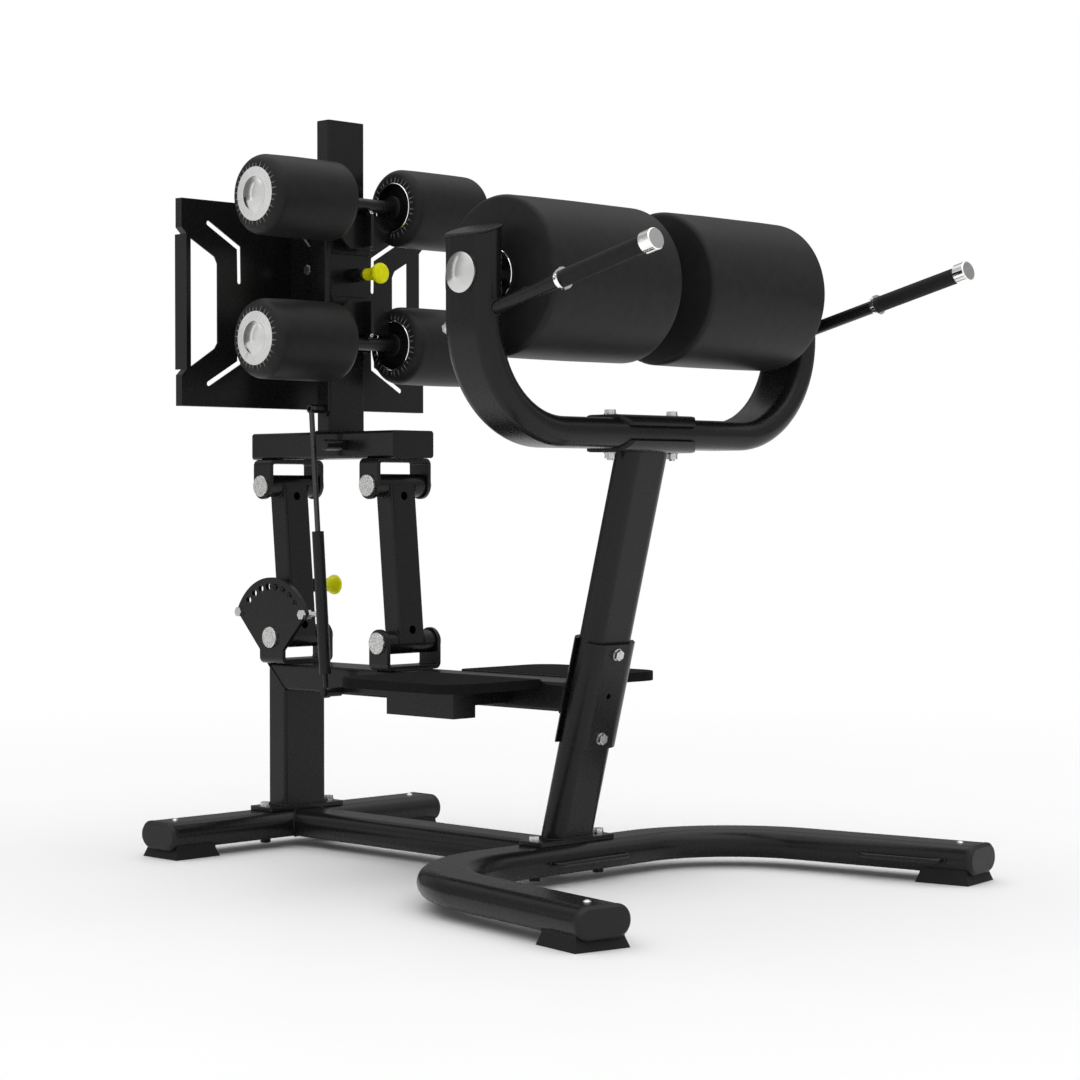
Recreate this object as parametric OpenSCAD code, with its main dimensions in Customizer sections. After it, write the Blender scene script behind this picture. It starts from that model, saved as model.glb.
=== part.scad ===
// Glute ham developer: a leaning yoke with thigh rollers, and a foot carriage on two swinging links.
// +X is the front, where the yoke stands, +Z is up, and the origin is on the floor, mid-way along.
// Most places are measured from the mast's middle line, so each piece is drawn by from_mast().

/* [Floor frame] */
// Width of the flat-oval tubes
tube_w = 100; // [96:1:104]
// Height of the flat-oval tubes
tube_h = 50; // [48:1:52]
// Wall of every tube
wall = 3; // [2.5:0.5:4]
// Clear height under the floor tubes
floor_gap = 16.5; // [16:0.5:18]
// Distance from the mast back to the rear cross tube
rear_tube_back = 129; // [125:1:133]
// Half length of the rear cross tube without its caps
rear_tube_half = 320; // [316:1:330]
// Distance from the mast forward to the front cross tube
cross_x = 590; // [586:1:594]
// Half length of the straight part of the front cross tube
cross_half = 181; // [176:1:186]
// Bend radius of the front tube's middle line
foot_bend_r = 230; // [220:1:240]
// Angle that each front leg splays outward
leg_splay = 10.2; // [8:0.1:12]
// Length of each front leg's straight part
leg_len = 338; // [330:1:345]
// Side of a rubber foot at the floor
foot_w = 100; // [98:1:102]

/* [Upright and beam] */
// Depth of the rectangular tubes
box_h = 50; // [48:1:52]
// Width of the rectangular tubes
box_w = 100; // [98:1:102]
// Height of the fixed beam's top
beam_top = 344; // [340:1:348]
// Lean of the front post
post_lean = 14.9; // [14:0.1:16]

/* [Yoke] */
// Distance from the mast to the yoke's middle plane
yoke_x = 764; // [760:1:768]
// Width of the yoke's oval tube
yoke_w = 104; // [102:1:106]
// Height of the middle line of the yoke's bottom tube
yoke_z = 763; // [760:1:766]
// Half distance between the yoke's arms
arm_y = 387; // [384:1:390]
// Bend radius of the yoke's middle line
yoke_bend_r = 172; // [165:1:180]
// Height of the thigh axle
axle_z = 1007.4; // [1004:0.2:1010]
// Diameter of the thigh axle
axle_d = 25; // [24:1:26]
// Radius of a thigh pad
thigh_r = 129; // [125:1:131]
// Upward tilt of the handles
handle_tilt = 14; // [12:0.5:16]

/* [Links and carriage] */
// Height of the lower pivots
low_pivot_z = 394; // [392:1:396]
// Height of the upper pivots
top_pivot_z = 680; // [678:1:682]
// Distance from the mast back to the rear link's lower pivot
low_rear_back = 126; // [124:1:128]
// Distance that the upper pivots stand behind the lower ones
link_set_back = 26; // [24:1:28]
// Distance between the two links
link_span = 304; // [300:1:308]
// Pitch circle radius of the sector's lock holes
sector_hole_r = 96; // [94:1:97]
// Angle between neighbouring lock holes
sector_step = 13; // [12.5:0.5:13]
// Height of the mast's top
mast_top = 1359; // [1355:1:1365]
// Pitch of the mast's lock holes
mast_step = 30; // [30:1:32]

/* [Sleeve and rollers] */
// Bottom of the sleeve
sleeve_low = 930; // [928:1:932]
// Top of the sleeve
sleeve_high = 1211; // [1209:1:1213]
// Distance from the mast forward to the roller shafts
shaft_x = 70; // [69:1:72]
// Height of the upper and lower roller shafts above and below the lock pin
shaft_rise = 128.5; // [127:0.5:130]
// Diameter of the roller shafts
shaft_d = 24; // [23:1:24]
// Radius of an ankle roller
roller_r = 73; // [70:1:74]
// Half width of the foot plate at its top and bottom
plate_half = 298; // [295:0.5:301]
// Half width of the foot plate beside its hand grips
grip_half = 287; // [284:0.5:289]

/* [Hidden] */
$fn = 64;
mast_x = -461.95;
tube_z = floor_gap + tube_h / 2;
tube_top = floor_gap + tube_h;
base_plate_t = 8;
plate_top = tube_top + base_plate_t;
base_bolt_y = 78;
leg_start_x = cross_x + foot_bend_r * (1 - sin(leg_splay));
leg_start_y = cross_half + foot_bend_r * cos(leg_splay);
front_foot_run = 295;
rear_foot_y = 276;
front_screw_run = 305.6;
rear_screw_y = 290;
cap_t = 12;
cap_plug = 18;
bolt_d = 10;
bolt_af = 17;
bolt_head = 6.4;
washer_d = 21;
washer_t = 2;
nut_t = 8;
bolt_hole = 11;
screw_d = 8;
bead_d = 8;
upright_x0 = -154;
beam_low = beam_top - box_h;
shell_t = 8;
clamp_low = 170;
clamp_high = 355;
clamp_bolts = [189.4, 338.4];
saddle_t = 6;
saddle_half = 92;
saddle_bolt_y = 76;
post_top = yoke_z - tube_h / 2 - saddle_t;
arm_cut_out = 1066;
arm_cut_in = 1083;
arm_plate_t = 3;
arm_out = arm_y + tube_h / 2;
arm_in = arm_y - tube_h / 2;
fit = 0.05;
gap = 0.3;
handle_d = 22;
grip_d = 27;
handle_start = [807, 950];
ring_at = 150;
cap_at = 330.5;
handle_cap_len = 22;
handle_bolt_at = -103;
thigh_inner = 37;
thigh_outer = 332.6;
core_r = 25;
cup_r = 42;
cup_depth = 12.4;
cup_floor = 3;
ear_t = 8;
ear_w = 50;
ear_out = 66;
ear_in = ear_out - ear_t;
pin_d = 20;
pin_head_d = 40;
pin_head_t = 6;
rear_low_x = -low_rear_back;
front_low_x = rear_low_x + link_span;
rear_top_x = rear_low_x - link_set_back;
front_top_x = front_low_x - link_set_back;
link_rise = top_pivot_z - low_pivot_z;
link_lean = atan(link_set_back / link_rise);
link_len = sqrt(link_rise * link_rise + link_set_back * link_set_back);
barrel_d = 42;
barrel_half = ear_in - gap;
bush_d = 26;
open_pivot_gap = 0.4;
lock_pin_d = 12;
lock_hole_d = 14;
guide_d = 22;
sector_r = 113;
carriage_low = 730;
carriage_high = 780;
carriage_half = 201;
mast_d = 36;
mast_w = 88;
pin_z = (sleeve_low + sleeve_high) / 2 + 0.5;
sleeve_d = 56;
sleeve_w = 111;
sleeve_wall = 5;
high_shaft_z = pin_z + shaft_rise;
low_shaft_z = pin_z - shaft_rise;
roller_in = 68;
roller_out = 262;
flange_r = 48.5;
flange_t = 4;
recess_r = 44;
recess_depth = 13;
boss_r = 21;
plate_x = -95.5;
plate_t = 3;
plate_low = 825;
plate_high = 1203;
notch_low = 881;
notch_high = 1150;
lip_depth = 18;
grip_depth = 34.5;
strut_y = -84;
strut_low = [54.8, 299.5];
strut_top = [14.5, 822];
strut_lean = atan((strut_low[0] - strut_top[0]) / (strut_top[1] - strut_low[1]));
strut_len = norm(strut_top - strut_low);
strut_stud_d = 8;
tab_y = 45;
tab_bolt = [-37, 1083];
stop_at = [93, 45.5];
neck = 33.5;
link_knob_y = 47.5;
stub_d = 16;
stub_in_knob = 2;
link_tip = ear_in - gap;
sleeve_knob_x = 73;
sleeve_knob_cut = 13;
sleeve_tip = mast_d / 2 + gap;
strut_body = [34, 297];
strut_rod_d = 10;
piston_d = 18;

// Everything is placed from the mast's middle line.
module from_mast() translate([mast_x, 0, 0]) children();

// Extrusions along X and Y: the outline's first axis stays level, its second stands up.
module run_x(length) rotate([90, 0, 90]) linear_extrude(length) children();
module run_y(length) rotate([90, 0, 180]) linear_extrude(length) children();

// A cylinder or other piece drawn along Z, turned to point along X or Y.
module point_x() rotate([0, 90, 0]) children();
module point_y() rotate([-90, 0, 0]) children();
module both_sides() {
  children();
  mirror([0, 1, 0]) children();
}

// Flat-oval outline, longer along its first axis.
module oval(w, h) {
  square([w - h, h], center = true);
  for (s = [-1, 1]) translate([s * (w - h) / 2, 0]) circle(d = h);
}
module oval_ring(w, h, t) difference() {
  oval(w, h);
  oval(w - 2 * t, h - 2 * t);
}
module round_box(w, h, r) {
  square([w - 2 * r, h], center = true);
  square([w, h - 2 * r], center = true);
  for (sx = [-1, 1], sy = [-1, 1]) translate([sx * (w / 2 - r), sy * (h / 2 - r)]) circle(r);
}
module box_ring(w, h, r, t) difference() {
  round_box(w, h, r);
  round_box(w - 2 * t, h - 2 * t, r - t);
}

// Fasteners stand on Z = 0, with the shank below it.
module hex_bolt(grip, head = bolt_head) {
  cylinder(d = bolt_af / cos(30), h = head, $fn = 6);
  translate([0, 0, -grip]) cylinder(d = bolt_d, h = grip + 1);
}
module washer() difference() {
  cylinder(d = washer_d, h = washer_t);
  translate([0, 0, -1]) cylinder(d = bolt_d + 2 * fit, h = washer_t + 2);
}
module hex_nut() difference() {
  cylinder(d = bolt_af / cos(30), h = nut_t, $fn = 6);
  translate([0, 0, -1]) cylinder(d = bolt_d + 2 * fit, h = nut_t + 2);
}
module cap_screw(grip) {
  intersection() {
    translate([0, 0, 4 - 8.125]) sphere(8.125);
    cylinder(r = 7, h = 5);
  }
  translate([0, 0, -grip]) cylinder(d = screw_d, h = grip + 1);
}

// Middle line of the front tube, swept with an oval of the given size.
module front_tube_sweep(w, h, extra = 0) {
  translate([cross_x, -cross_half, tube_z]) run_y(2 * cross_half) oval(w, h);
  both_sides() {
    translate([cross_x + foot_bend_r, -cross_half, tube_z])
      rotate([0, 0, 180]) rotate_extrude(angle = 90 - leg_splay) translate([foot_bend_r, 0]) oval(w, h);
    along_leg() run_x(leg_len + extra) oval(w, h);
  }
}
// Places something on the near front leg, where its straight part begins, pointing forward.
module along_leg(run = 0)
  translate([leg_start_x, -leg_start_y, tube_z]) rotate([0, 0, -leg_splay]) translate([run, 0, 0]) children();

module rear_tube_solid(w, h, half)
  translate([-rear_tube_back, -half, tube_z]) run_y(2 * half) oval(w, h);

module rear_foot_tube() color("#2a2b2d") from_mast() difference() {
  rear_tube_solid(tube_w, tube_h, rear_tube_half);
  rear_tube_solid(tube_w - 2 * wall, tube_h - 2 * wall, rear_tube_half + 1);
  both_sides() {
    translate([-rear_tube_back, base_bolt_y, 0]) cylinder(d = bolt_hole, h = 100);
    translate([-rear_tube_back, rear_screw_y, 0]) cylinder(d = screw_d + 1, h = 100);
  }
}

module centre_tube() color("#2a2b2d") from_mast() difference() {
  translate([-rear_tube_back, 0, tube_z]) run_x(rear_tube_back + cross_x) oval_ring(tube_w, tube_h, wall);
  rear_tube_solid(tube_w, tube_h, tube_w);
  translate([cross_x, -tube_w, tube_z]) run_y(2 * tube_w) oval(tube_w, tube_h);
}

module front_foot_tube() color("#2a2b2d") from_mast() difference() {
  front_tube_sweep(tube_w, tube_h);
  front_tube_sweep(tube_w - 2 * wall, tube_h - 2 * wall, 1);
  both_sides() {
    translate([cross_x, base_bolt_y, 0]) cylinder(d = bolt_hole, h = 100);
    along_leg(front_screw_run) translate([0, 0, -50]) cylinder(d = screw_d + 1, h = 100);
  }
}

// Domed cap on a tube's end, with a plug inside the tube; the tube's end is at X = 0.
module tube_cap() {
  side = (tube_w - tube_h) / 2;
  rim = tube_h / 2 + 0.5;
  edge = 5;
  face = [[0, 0], [rim, 0], [rim, cap_t - edge], [rim - edge, cap_t], [0, cap_t]];
  point_x() {
    for (s = [-1, 1]) translate([0, s * side, 0]) rotate_extrude() polygon(face);
    rotate([90, 0, 0]) linear_extrude(2 * side, center = true) {
      polygon(face);
      mirror([1, 0]) polygon(face);
    }
  }
  translate([-cap_plug, 0, 0])
    run_x(cap_plug + 1) oval(tube_w - 2 * wall - 2 * fit, tube_h - 2 * wall - 2 * fit);
}
module foot_tube_caps() color("#1c1c1e") from_mast() both_sides() {
  along_leg(leg_len) tube_cap();
  translate([-rear_tube_back, -rear_tube_half, tube_z]) rotate([0, 0, -90]) tube_cap();
}

// Foot under a tube that runs along X, tapered on all sides, with a cradle that is wider at the tube's cap.
module rubber_foot() difference() {
  low = foot_w / 2;
  high = low - 6;
  step = floor_gap + 0.5;
  rise = 26;
  side = [[-low, 0], [low, 0], [high, step], [high, rise], [-high, rise], [-high, step]];
  intersection() {
    rotate([90, 0, 0]) linear_extrude(2 * foot_w, center = true) polygon(side);
    rotate([90, 0, 90]) linear_extrude(2 * foot_w, center = true) polygon(side);
  }
  translate([-foot_w, 0, tube_z]) run_x(2 * foot_w) oval(tube_w, tube_h);
  cap_side = 42.5;
  translate([cap_side, 0, tube_z]) run_x(foot_w) oval(tube_w + 1 + 2 * gap, tube_h + 1 + 2 * gap);
}
module rubber_feet() color("#19191a") from_mast() both_sides() {
  difference() {
    along_leg(front_foot_run) translate([0, 0, -tube_z]) rubber_foot();
    along_leg(front_screw_run) translate([0, 0, 5 - tube_z]) cylinder(d = screw_d + 2 * fit, h = 50);
  }
  difference() {
    translate([-rear_tube_back, -rear_foot_y, 0]) rotate([0, 0, -90]) rubber_foot();
    translate([-rear_tube_back, -rear_screw_y, 5]) cylinder(d = screw_d + 2 * fit, h = 50);
  }
}

// Bent rod: a bar along Y in front of the plane X = 0, with both ends bent back to it.
module rod_loop(span, reach) {
  bend = 12;
  translate([reach, bend - span / 2, 0]) point_y() cylinder(d = bead_d, h = span - 2 * bend);
  both_sides() {
    translate([reach - bend, span / 2 - bend, 0])
      rotate_extrude(angle = 90) translate([bend, 0]) circle(d = bead_d);
    translate([-6, span / 2, 0]) point_x() cylinder(d = bead_d, h = reach - bend + 6);
  }
}
module band_loops() color("#232325") from_mast() difference() {
  union() {
    translate([cross_x + tube_w / 2, 0, tube_z]) rod_loop(170, 20);
    both_sides() along_leg(223) translate([0, tube_w / 2, 0]) rotate([0, 0, 90]) rod_loop(146, 22);
  }
  front_tube_sweep(tube_w, tube_h);
}

// The upright and the fixed beam meet on a 45 degree mitre.
module rear_upright() color("#2a2b2d") from_mast() intersection() {
  translate([upright_x0 + box_h / 2, 0, plate_top])
    linear_extrude(beam_top - plate_top) box_ring(box_h, box_w, 6, wall);
  translate([0, -box_w, 0]) run_y_flat(2 * box_w) polygon([
    [upright_x0, plate_top], [upright_x0 + box_h, plate_top],
    [upright_x0 + box_h, beam_low], [upright_x0, beam_top]]);
}
// Extrudes an outline drawn in X and Z along +Y.
module run_y_flat(length) rotate([90, 0, 0]) translate([0, 0, -length]) linear_extrude(length) children();

module fixed_beam() color("#2a2b2d") from_mast() difference() {
  intersection() {
    translate([upright_x0, 0, beam_low + box_h / 2]) run_x(900) box_ring(box_w, box_h, 6, wall);
    translate([0, -box_w, 0]) run_y_flat(2 * box_w) polygon([
      [upright_x0, beam_top], [upright_x0 + box_h, beam_low],
      [post_x(beam_low), beam_low], [post_x(beam_top), beam_top]]);
  }
  along_post() linear_extrude(500) oval_across(yoke_w + 2 * shell_t, tube_h + 2 * shell_t);
}

module base_plate(w, x) translate([x, 0, tube_top]) linear_extrude(base_plate_t) difference() {
  round_box(w, 184, 8);
  for (s = [-1, 1]) translate([0, s * base_bolt_y]) circle(d = bolt_hole);
}
module base_plates() color("#2a2b2d") from_mast() {
  base_plate(64, -rear_tube_back);
  base_plate(58, cross_x);
}

// The post leans forward from the front cross tube; inside along_post() it runs along Z.
function post_x(z) = cross_x - 1 + (z - plate_top) * tan(post_lean);
module along_post() translate([post_x(plate_top), 0, plate_top]) rotate([0, post_lean, 0]) children();
module oval_across(w, h) rotate(90) oval(w, h);

module front_post() color("#2a2b2d") from_mast() difference() {
  intersection() {
    along_post() translate([0, 0, -50]) linear_extrude(850) rotate(90) oval_ring(yoke_w, tube_h, wall);
    translate([0, -100, plate_top]) cube([1000, 200, post_top - plate_top]);
  }
  along_post() for (s = clamp_bolts) translate([-100, 0, s]) point_x() cylinder(d = bolt_hole, h = 200);
  along_post() translate([0, 0, (clamp_bolts[0] + clamp_bolts[1]) / 2])
    point_x() cylinder(d = bolt_d, h = 100);
}

// Two shells hug the post; lip is how far each reaches round the post from its middle plane.
module post_shell(side, lip) difference() {
  translate([0, 0, clamp_low]) linear_extrude(clamp_high - clamp_low) difference() {
    oval_across(yoke_w + 2 * shell_t, tube_h + 2 * shell_t);
    oval_across(yoke_w, tube_h);
    translate([side > 0 ? -100 + lip : -lip, -100]) square([100, 200]);
  }
  for (s = clamp_bolts) translate([-100, 0, s]) point_x() cylinder(d = bolt_hole, h = 200);
  translate([0, 0, (clamp_bolts[0] + clamp_bolts[1]) / 2]) point_x() cylinder(d = bolt_d, h = 100);
}
module post_clamp_shells() color("#2a2b2d") from_mast() along_post() {
  post_shell(1, 10);
  post_shell(-1, 16);
}

// Two shells hug the bottom of the yoke, with the ends of their lips cut at a slant.
module saddle_shell() difference() {
  translate([0, -saddle_half, 0]) run_y(2 * saddle_half) difference() {
    oval(yoke_w + 2 * saddle_t, tube_h + 2 * saddle_t);
    oval(yoke_w, tube_h);
    translate([-100, -100 + 12.5]) square([200, 100]);
  }
  for (sx = [-1, 1], sy = [-1, 1]) translate([sx * 56, sy * saddle_half, 0])
    rotate([0, 0, 45]) cube([26, 26, 200], center = true);
  for (sy = [-1, 1]) translate([0, sy * saddle_bolt_y, 0]) cylinder(d = bolt_hole, h = 100);
}
module saddle_shells() color("#2a2b2d") from_mast() translate([yoke_x, 0, yoke_z]) {
  saddle_shell();
  mirror([0, 0, 1]) saddle_shell();
}

module yoke_sweep(w, h, top) translate([yoke_x, 0, 0]) {
  flat_half = arm_y - yoke_bend_r;
  translate([0, -flat_half, yoke_z]) run_y(2 * flat_half) oval(w, h);
  both_sides() {
    translate([0, flat_half, yoke_z + yoke_bend_r]) rotate([90, 0, 90]) rotate([0, 0, -90])
      rotate_extrude(angle = 90) translate([yoke_bend_r, 0]) oval_across(w, h);
    translate([0, arm_y, yoke_z + yoke_bend_r]) linear_extrude(top - yoke_z - yoke_bend_r) oval(w, h);
  }
}
// Everything below the slanted cut on both arms, raised by the given height.
module below_arm_cut(lift) translate([yoke_x - 100, 0, lift]) run_x(200) {
  slope = (arm_cut_in - arm_cut_out) / (arm_out - arm_in);
  spread = arm_out + 50;
  side_z = arm_cut_out - 50 * slope;
  mid_z = arm_cut_out + arm_out * slope;
  polygon([[-spread, 600], [spread, 600], [spread, side_z], [0, mid_z], [-spread, side_z]]);
}
module yoke() color("#2a2b2d") from_mast() difference() {
  intersection() {
    yoke_sweep(yoke_w, tube_h, 1120);
    below_arm_cut(0);
  }
  yoke_sweep(yoke_w - 2 * wall, tube_h - 2 * wall, 1130);
  translate([yoke_x, -500, axle_z]) point_y() cylinder(d = axle_d + 2 * fit, h = 1000);
  both_sides() translate([yoke_x, saddle_bolt_y, 700]) cylinder(d = bolt_hole, h = 120);
  along_handles(-130) cylinder(d = bolt_hole, h = 160);
}
module yoke_caps() color("#2a2b2d") from_mast() difference() {
  intersection() {
    translate([yoke_x, 0, 0]) both_sides() translate([0, arm_y, 1000]) linear_extrude(130) oval(yoke_w, tube_h);
    below_arm_cut(arm_plate_t);
  }
  below_arm_cut(0);
}

// The axle with its domed ends, and the spacer tubes beside and between the thigh pads.
module axle_dome() {
  dome_r = 32;
  rim = 5;
  dome_h = 7;
  ball_r = (dome_r * dome_r + dome_h * dome_h) / (2 * dome_h);
  intersection() {
    translate([0, 0, rim + dome_h - ball_r]) sphere(ball_r);
    cylinder(r = dome_r, h = rim + dome_h);
  }
}
module axle_spacer(length) difference() {
  cylinder(d = 38, h = length);
  translate([0, 0, -1]) cylinder(d = axle_d + 2 * fit, h = length + 2);
}
module thigh_axle() color("#c9cbce") from_mast() translate([yoke_x, 0, axle_z]) {
  side_start = thigh_outer + cup_floor + gap;
  mid_half = thigh_inner - gap;
  translate([0, -arm_out - 2, 0]) point_y() cylinder(d = axle_d, h = 2 * arm_out + 4);
  translate([0, -mid_half, 0]) point_y() axle_spacer(2 * mid_half);
  both_sides() {
    translate([0, arm_out, 0]) point_y() axle_dome();
    translate([0, side_start, 0]) point_y() axle_spacer(arm_in - side_start);
  }
}

// Handles rise forward from the arms; inside along_handles() each one runs along X.
module along_handles(run) both_sides()
  translate([handle_start[0], arm_y, handle_start[1]]) rotate([0, -handle_tilt, 0])
    translate([run, 0, 0]) point_x() children();
module handle_bars() color("#2a2b2d") from_mast() difference() {
  along_handles(-20) difference() {
    cylinder(d = handle_d, h = cap_at + 20);
    translate([0, 0, 65]) cylinder(d = handle_d - 5, h = 500);
    translate([0, 0, -1]) cylinder(d = bolt_d + 2 * fit, h = 100);
  }
  translate([yoke_x, 0, 0]) arm_outline();
}
module arm_outline() both_sides() translate([0, arm_y, 850]) linear_extrude(180) oval(yoke_w, tube_h);
module handle_grips() color("#1b1b1c") from_mast() along_handles(ring_at + 10) difference() {
  cylinder(d = grip_d, h = cap_at - ring_at - 10);
  translate([0, 0, -1]) cylinder(d = handle_d + 2 * fit, h = 500);
}
module handle_trim() color("#d0d2d4") from_mast() {
  along_handles(ring_at) difference() {
    union() {
      cylinder(d = 30, h = 10);
      translate([0, 0, 6]) cylinder(d = 35, h = 4);
    }
    translate([0, 0, -1]) cylinder(d = handle_d + 2 * fit, h = 50);
    translate([0, 0, 3]) point_y() cylinder(d = 4, h = 30);
  }
  along_handles(cap_at) difference() {
    rotate_extrude() {
      edge = 2;
      square([17 - edge, handle_cap_len]);
      square([17, handle_cap_len - edge]);
      translate([17 - edge, handle_cap_len - edge]) circle(edge);
    }
    translate([0, 0, 7]) point_y() translate([0, 0, 12]) cylinder(d = 4, h = 30);
  }
}

// Pressed step beside the beam, drawn on the far side; inset shrinks its outline.
module step_outline(inset) {
  near = box_w / 2;
  far = 265;
  back = 277;
  front = 577;
  corner = 50;
  translate([back + inset, near]) square([front - back - 2 * inset, far - near - corner]);
  translate([back + corner, near]) square([front - back - 2 * corner, far - near - inset]);
  for (x = [back + corner, front - corner]) translate([x, far - corner]) circle(corner - inset);
}
module step_plates() color("#242426") from_mast() both_sides() difference() {
  translate([0, 0, beam_top - 13]) linear_extrude(16.5) step_outline(0);
  translate([0, 0, beam_top - 14]) linear_extrude(14) step_outline(wall);
}
// Folded brace under each step: a deep channel outside and an arm back to the beam.
module step_braces() color("#242426") from_mast() both_sides() {
  difference() {
    translate([350, 148, 284]) cube([168, 52, beam_top - 284]);
    translate([350 + wall, 148 + wall, 284 + wall]) cube([168 - 2 * wall, 52 - 2 * wall, 100]);
  }
  difference() {
    translate([368, box_w / 2, 303]) cube([132, 98, beam_top - 303]);
    translate([368 + wall, 0, 303 + wall]) cube([132 - 2 * wall, 200, 100]);
  }
}

// Clevis bent from plate: pin at the origin, base below it.
module clevis_channel(width) translate([-width / 2, 0, 0]) run_x(width) difference() {
  depth = 200;
  base = low_pivot_z - beam_top;
  translate([0, depth / 2 - base]) round_box(2 * ear_out, depth, 12);
  translate([0, depth / 2 - base + ear_t]) round_box(2 * ear_in, depth, 4);
}
module ear_outline() {
  translate([-ear_w / 2, -ear_w]) square(ear_w);
  circle(d = ear_w);
}
module pin_hole() translate([0, -100, 0]) point_y() cylinder(d = pin_d + 2 * fit, h = 200);
module clevis() difference() {
  intersection() {
    clevis_channel(ear_w + 10);
    translate([0, -100, 0]) run_y_flat(200) ear_outline();
  }
  pin_hole();
}
module front_lower_clevis() color("#2a2b2d") from_mast() translate([front_low_x, 0, low_pivot_z]) clevis();

// The sector is drawn in X and Z about the pivot; its neck runs down into the clevis bend.
module sector_outline() difference() {
  intersection() {
    circle(r = sector_r);
    polygon([[-neck, -ear_w], [neck, -ear_w], [neck, -24], [102, 47], [102, 120],
      [-102, 120], [-102, 47], [-neck, -24]]);
  }
  for (k = [-4:3]) rotate(90 + link_lean + k * sector_step)
    translate([sector_hole_r, 0]) circle(d = lock_hole_d);
  for (s = [-1, 1]) translate([s * stop_at[0], stop_at[1]]) circle(d = bolt_d + 2 * fit);
}
module sector_clevis() color("#2a2b2d") from_mast() translate([rear_low_x, 0, low_pivot_z]) difference() {
  bend_y = 54;
  intersection() {
    clevis_channel(2 * sector_r + 10);
    union() {
      translate([0, -bend_y, 0]) run_y_flat(200) ear_outline();
      translate([0, -100, 0]) run_y_flat(100 - bend_y) sector_outline();
    }
  }
  pin_hole();
}
module stop_bolts() color("#c4c6c8") from_mast() translate([rear_low_x, 0, low_pivot_z])
  for (s = [-1, 1]) translate([s * stop_at[0], 0, stop_at[1]]) {
    translate([0, -ear_out, 0]) rotate([90, 0, 0]) hex_bolt(46);
    translate([0, -ear_in, 0]) point_y() hex_nut();
  }

// Headed pin through a clevis, with a matching disc on its far end.
module pivot_pin(x, z) translate([x, 0, z]) {
  translate([0, -ear_out, 0]) point_y() cylinder(d = pin_d, h = 2 * ear_out);
  translate([0, -ear_out - pin_head_t, 0]) point_y() pin_disc();
  translate([0, ear_out + pin_head_t, 0]) rotate([90, 0, 0]) pin_disc();
}
module pin_disc() rotate_extrude() {
  edge = 1.5;
  square([pin_head_d / 2 - edge, pin_head_t]);
  translate([0, edge]) square([pin_head_d / 2, pin_head_t - edge]);
  translate([pin_head_d / 2 - edge, edge]) circle(edge);
}
module lower_pivot_pins() color("#c4c6c8") from_mast() {
  pivot_pin(rear_low_x, low_pivot_z);
  pivot_pin(front_low_x, low_pivot_z);
}
module upper_pivot_pins() color("#c4c6c8") from_mast() {
  pivot_pin(rear_top_x, top_pivot_z);
  pivot_pin(front_top_x, top_pivot_z);
}

// All bolts and screws of the floor frame, post and yoke, and the strut's shoulder bolt.
module frame_bolts() color("#c4c6c8") from_mast() {
  both_sides() {
    for (x = [-rear_tube_back, cross_x]) translate([x, base_bolt_y, plate_top + washer_t]) hex_bolt(71.5);
    translate([yoke_x, saddle_bolt_y, yoke_z + tube_h / 2 + saddle_t + washer_t]) hex_bolt(77);
    along_leg(front_screw_run) translate([0, 0, tube_h / 2]) cap_screw(46);
    translate([-rear_tube_back, rear_screw_y, tube_top]) cap_screw(46);
  }
  along_post() for (s = clamp_bolts)
    translate([tube_h / 2 + shell_t + washer_t, 0, s]) point_x() hex_bolt(81);
  translate([strut_low[0], -box_w / 2, strut_low[1]]) rotate([90, 0, 0]) strut_stud();
  along_handles(handle_bolt_at) mirror([0, 0, 1]) hex_bolt(140);
}
// Shoulder bolt that stands out along Z and carries the strut's lower eye.
module strut_stud() {
  shoulder = 28.7;
  cylinder(d = 16, h = shoulder);
  cylinder(d = strut_stud_d, h = 43);
  translate([0, 0, 39.3]) cylinder(d = 14, h = 4);
}
module frame_nuts() color("#c4c6c8") from_mast() {
  both_sides() {
    for (x = [-rear_tube_back, cross_x]) {
      translate([x, base_bolt_y, plate_top]) washer();
      translate([x, base_bolt_y, floor_gap]) mirror([0, 0, 1]) washer_and_nut();
    }
    translate([yoke_x, saddle_bolt_y, yoke_z + tube_h / 2 + saddle_t]) washer();
    translate([yoke_x, saddle_bolt_y, post_top]) mirror([0, 0, 1]) washer_and_nut();
  }
  along_post() for (s = clamp_bolts) {
    translate([tube_h / 2 + shell_t, 0, s]) point_x() washer();
    translate([-tube_h / 2 - shell_t, 0, s]) rotate([0, -90, 0]) washer_and_nut();
  }
  difference() {
    along_handles(handle_bolt_at) difference() {
      cylinder(d = washer_d, h = 12);
      translate([0, 0, -1]) cylinder(d = bolt_d + 2 * fit, h = 20);
    }
    yoke_sweep(yoke_w + 2 * fit, tube_h + 2 * fit, 1120);
  }
}
module washer_and_nut() {
  washer();
  translate([0, 0, washer_t]) hex_nut();
}

// Links lean back with their lower pivot at the given place; inside along_link() they run along Z.
module along_link(x) translate([x, 0, low_pivot_z]) rotate([0, -link_lean, 0]) children();
module barrel(d) translate([0, -barrel_half, 0]) point_y() cylinder(d = d, h = 2 * barrel_half);
module link_body() {
  ends = [0, link_len];
  notch = barrel_d / 2;
  difference() {
    union() {
      difference() {
        linear_extrude(link_len) box_ring(45, 60, 6, wall);
        for (z = ends) translate([0, 0, z]) barrel(barrel_d);
        for (z = [notch, link_len - notch]) translate([10, 0, z]) point_x() cylinder(r = 8, h = 30);
      }
      for (z = ends) translate([0, 0, z]) barrel(barrel_d);
    }
    for (z = ends) translate([0, -100, z]) point_y() cylinder(d = bush_d, h = 200);
  }
}
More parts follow.
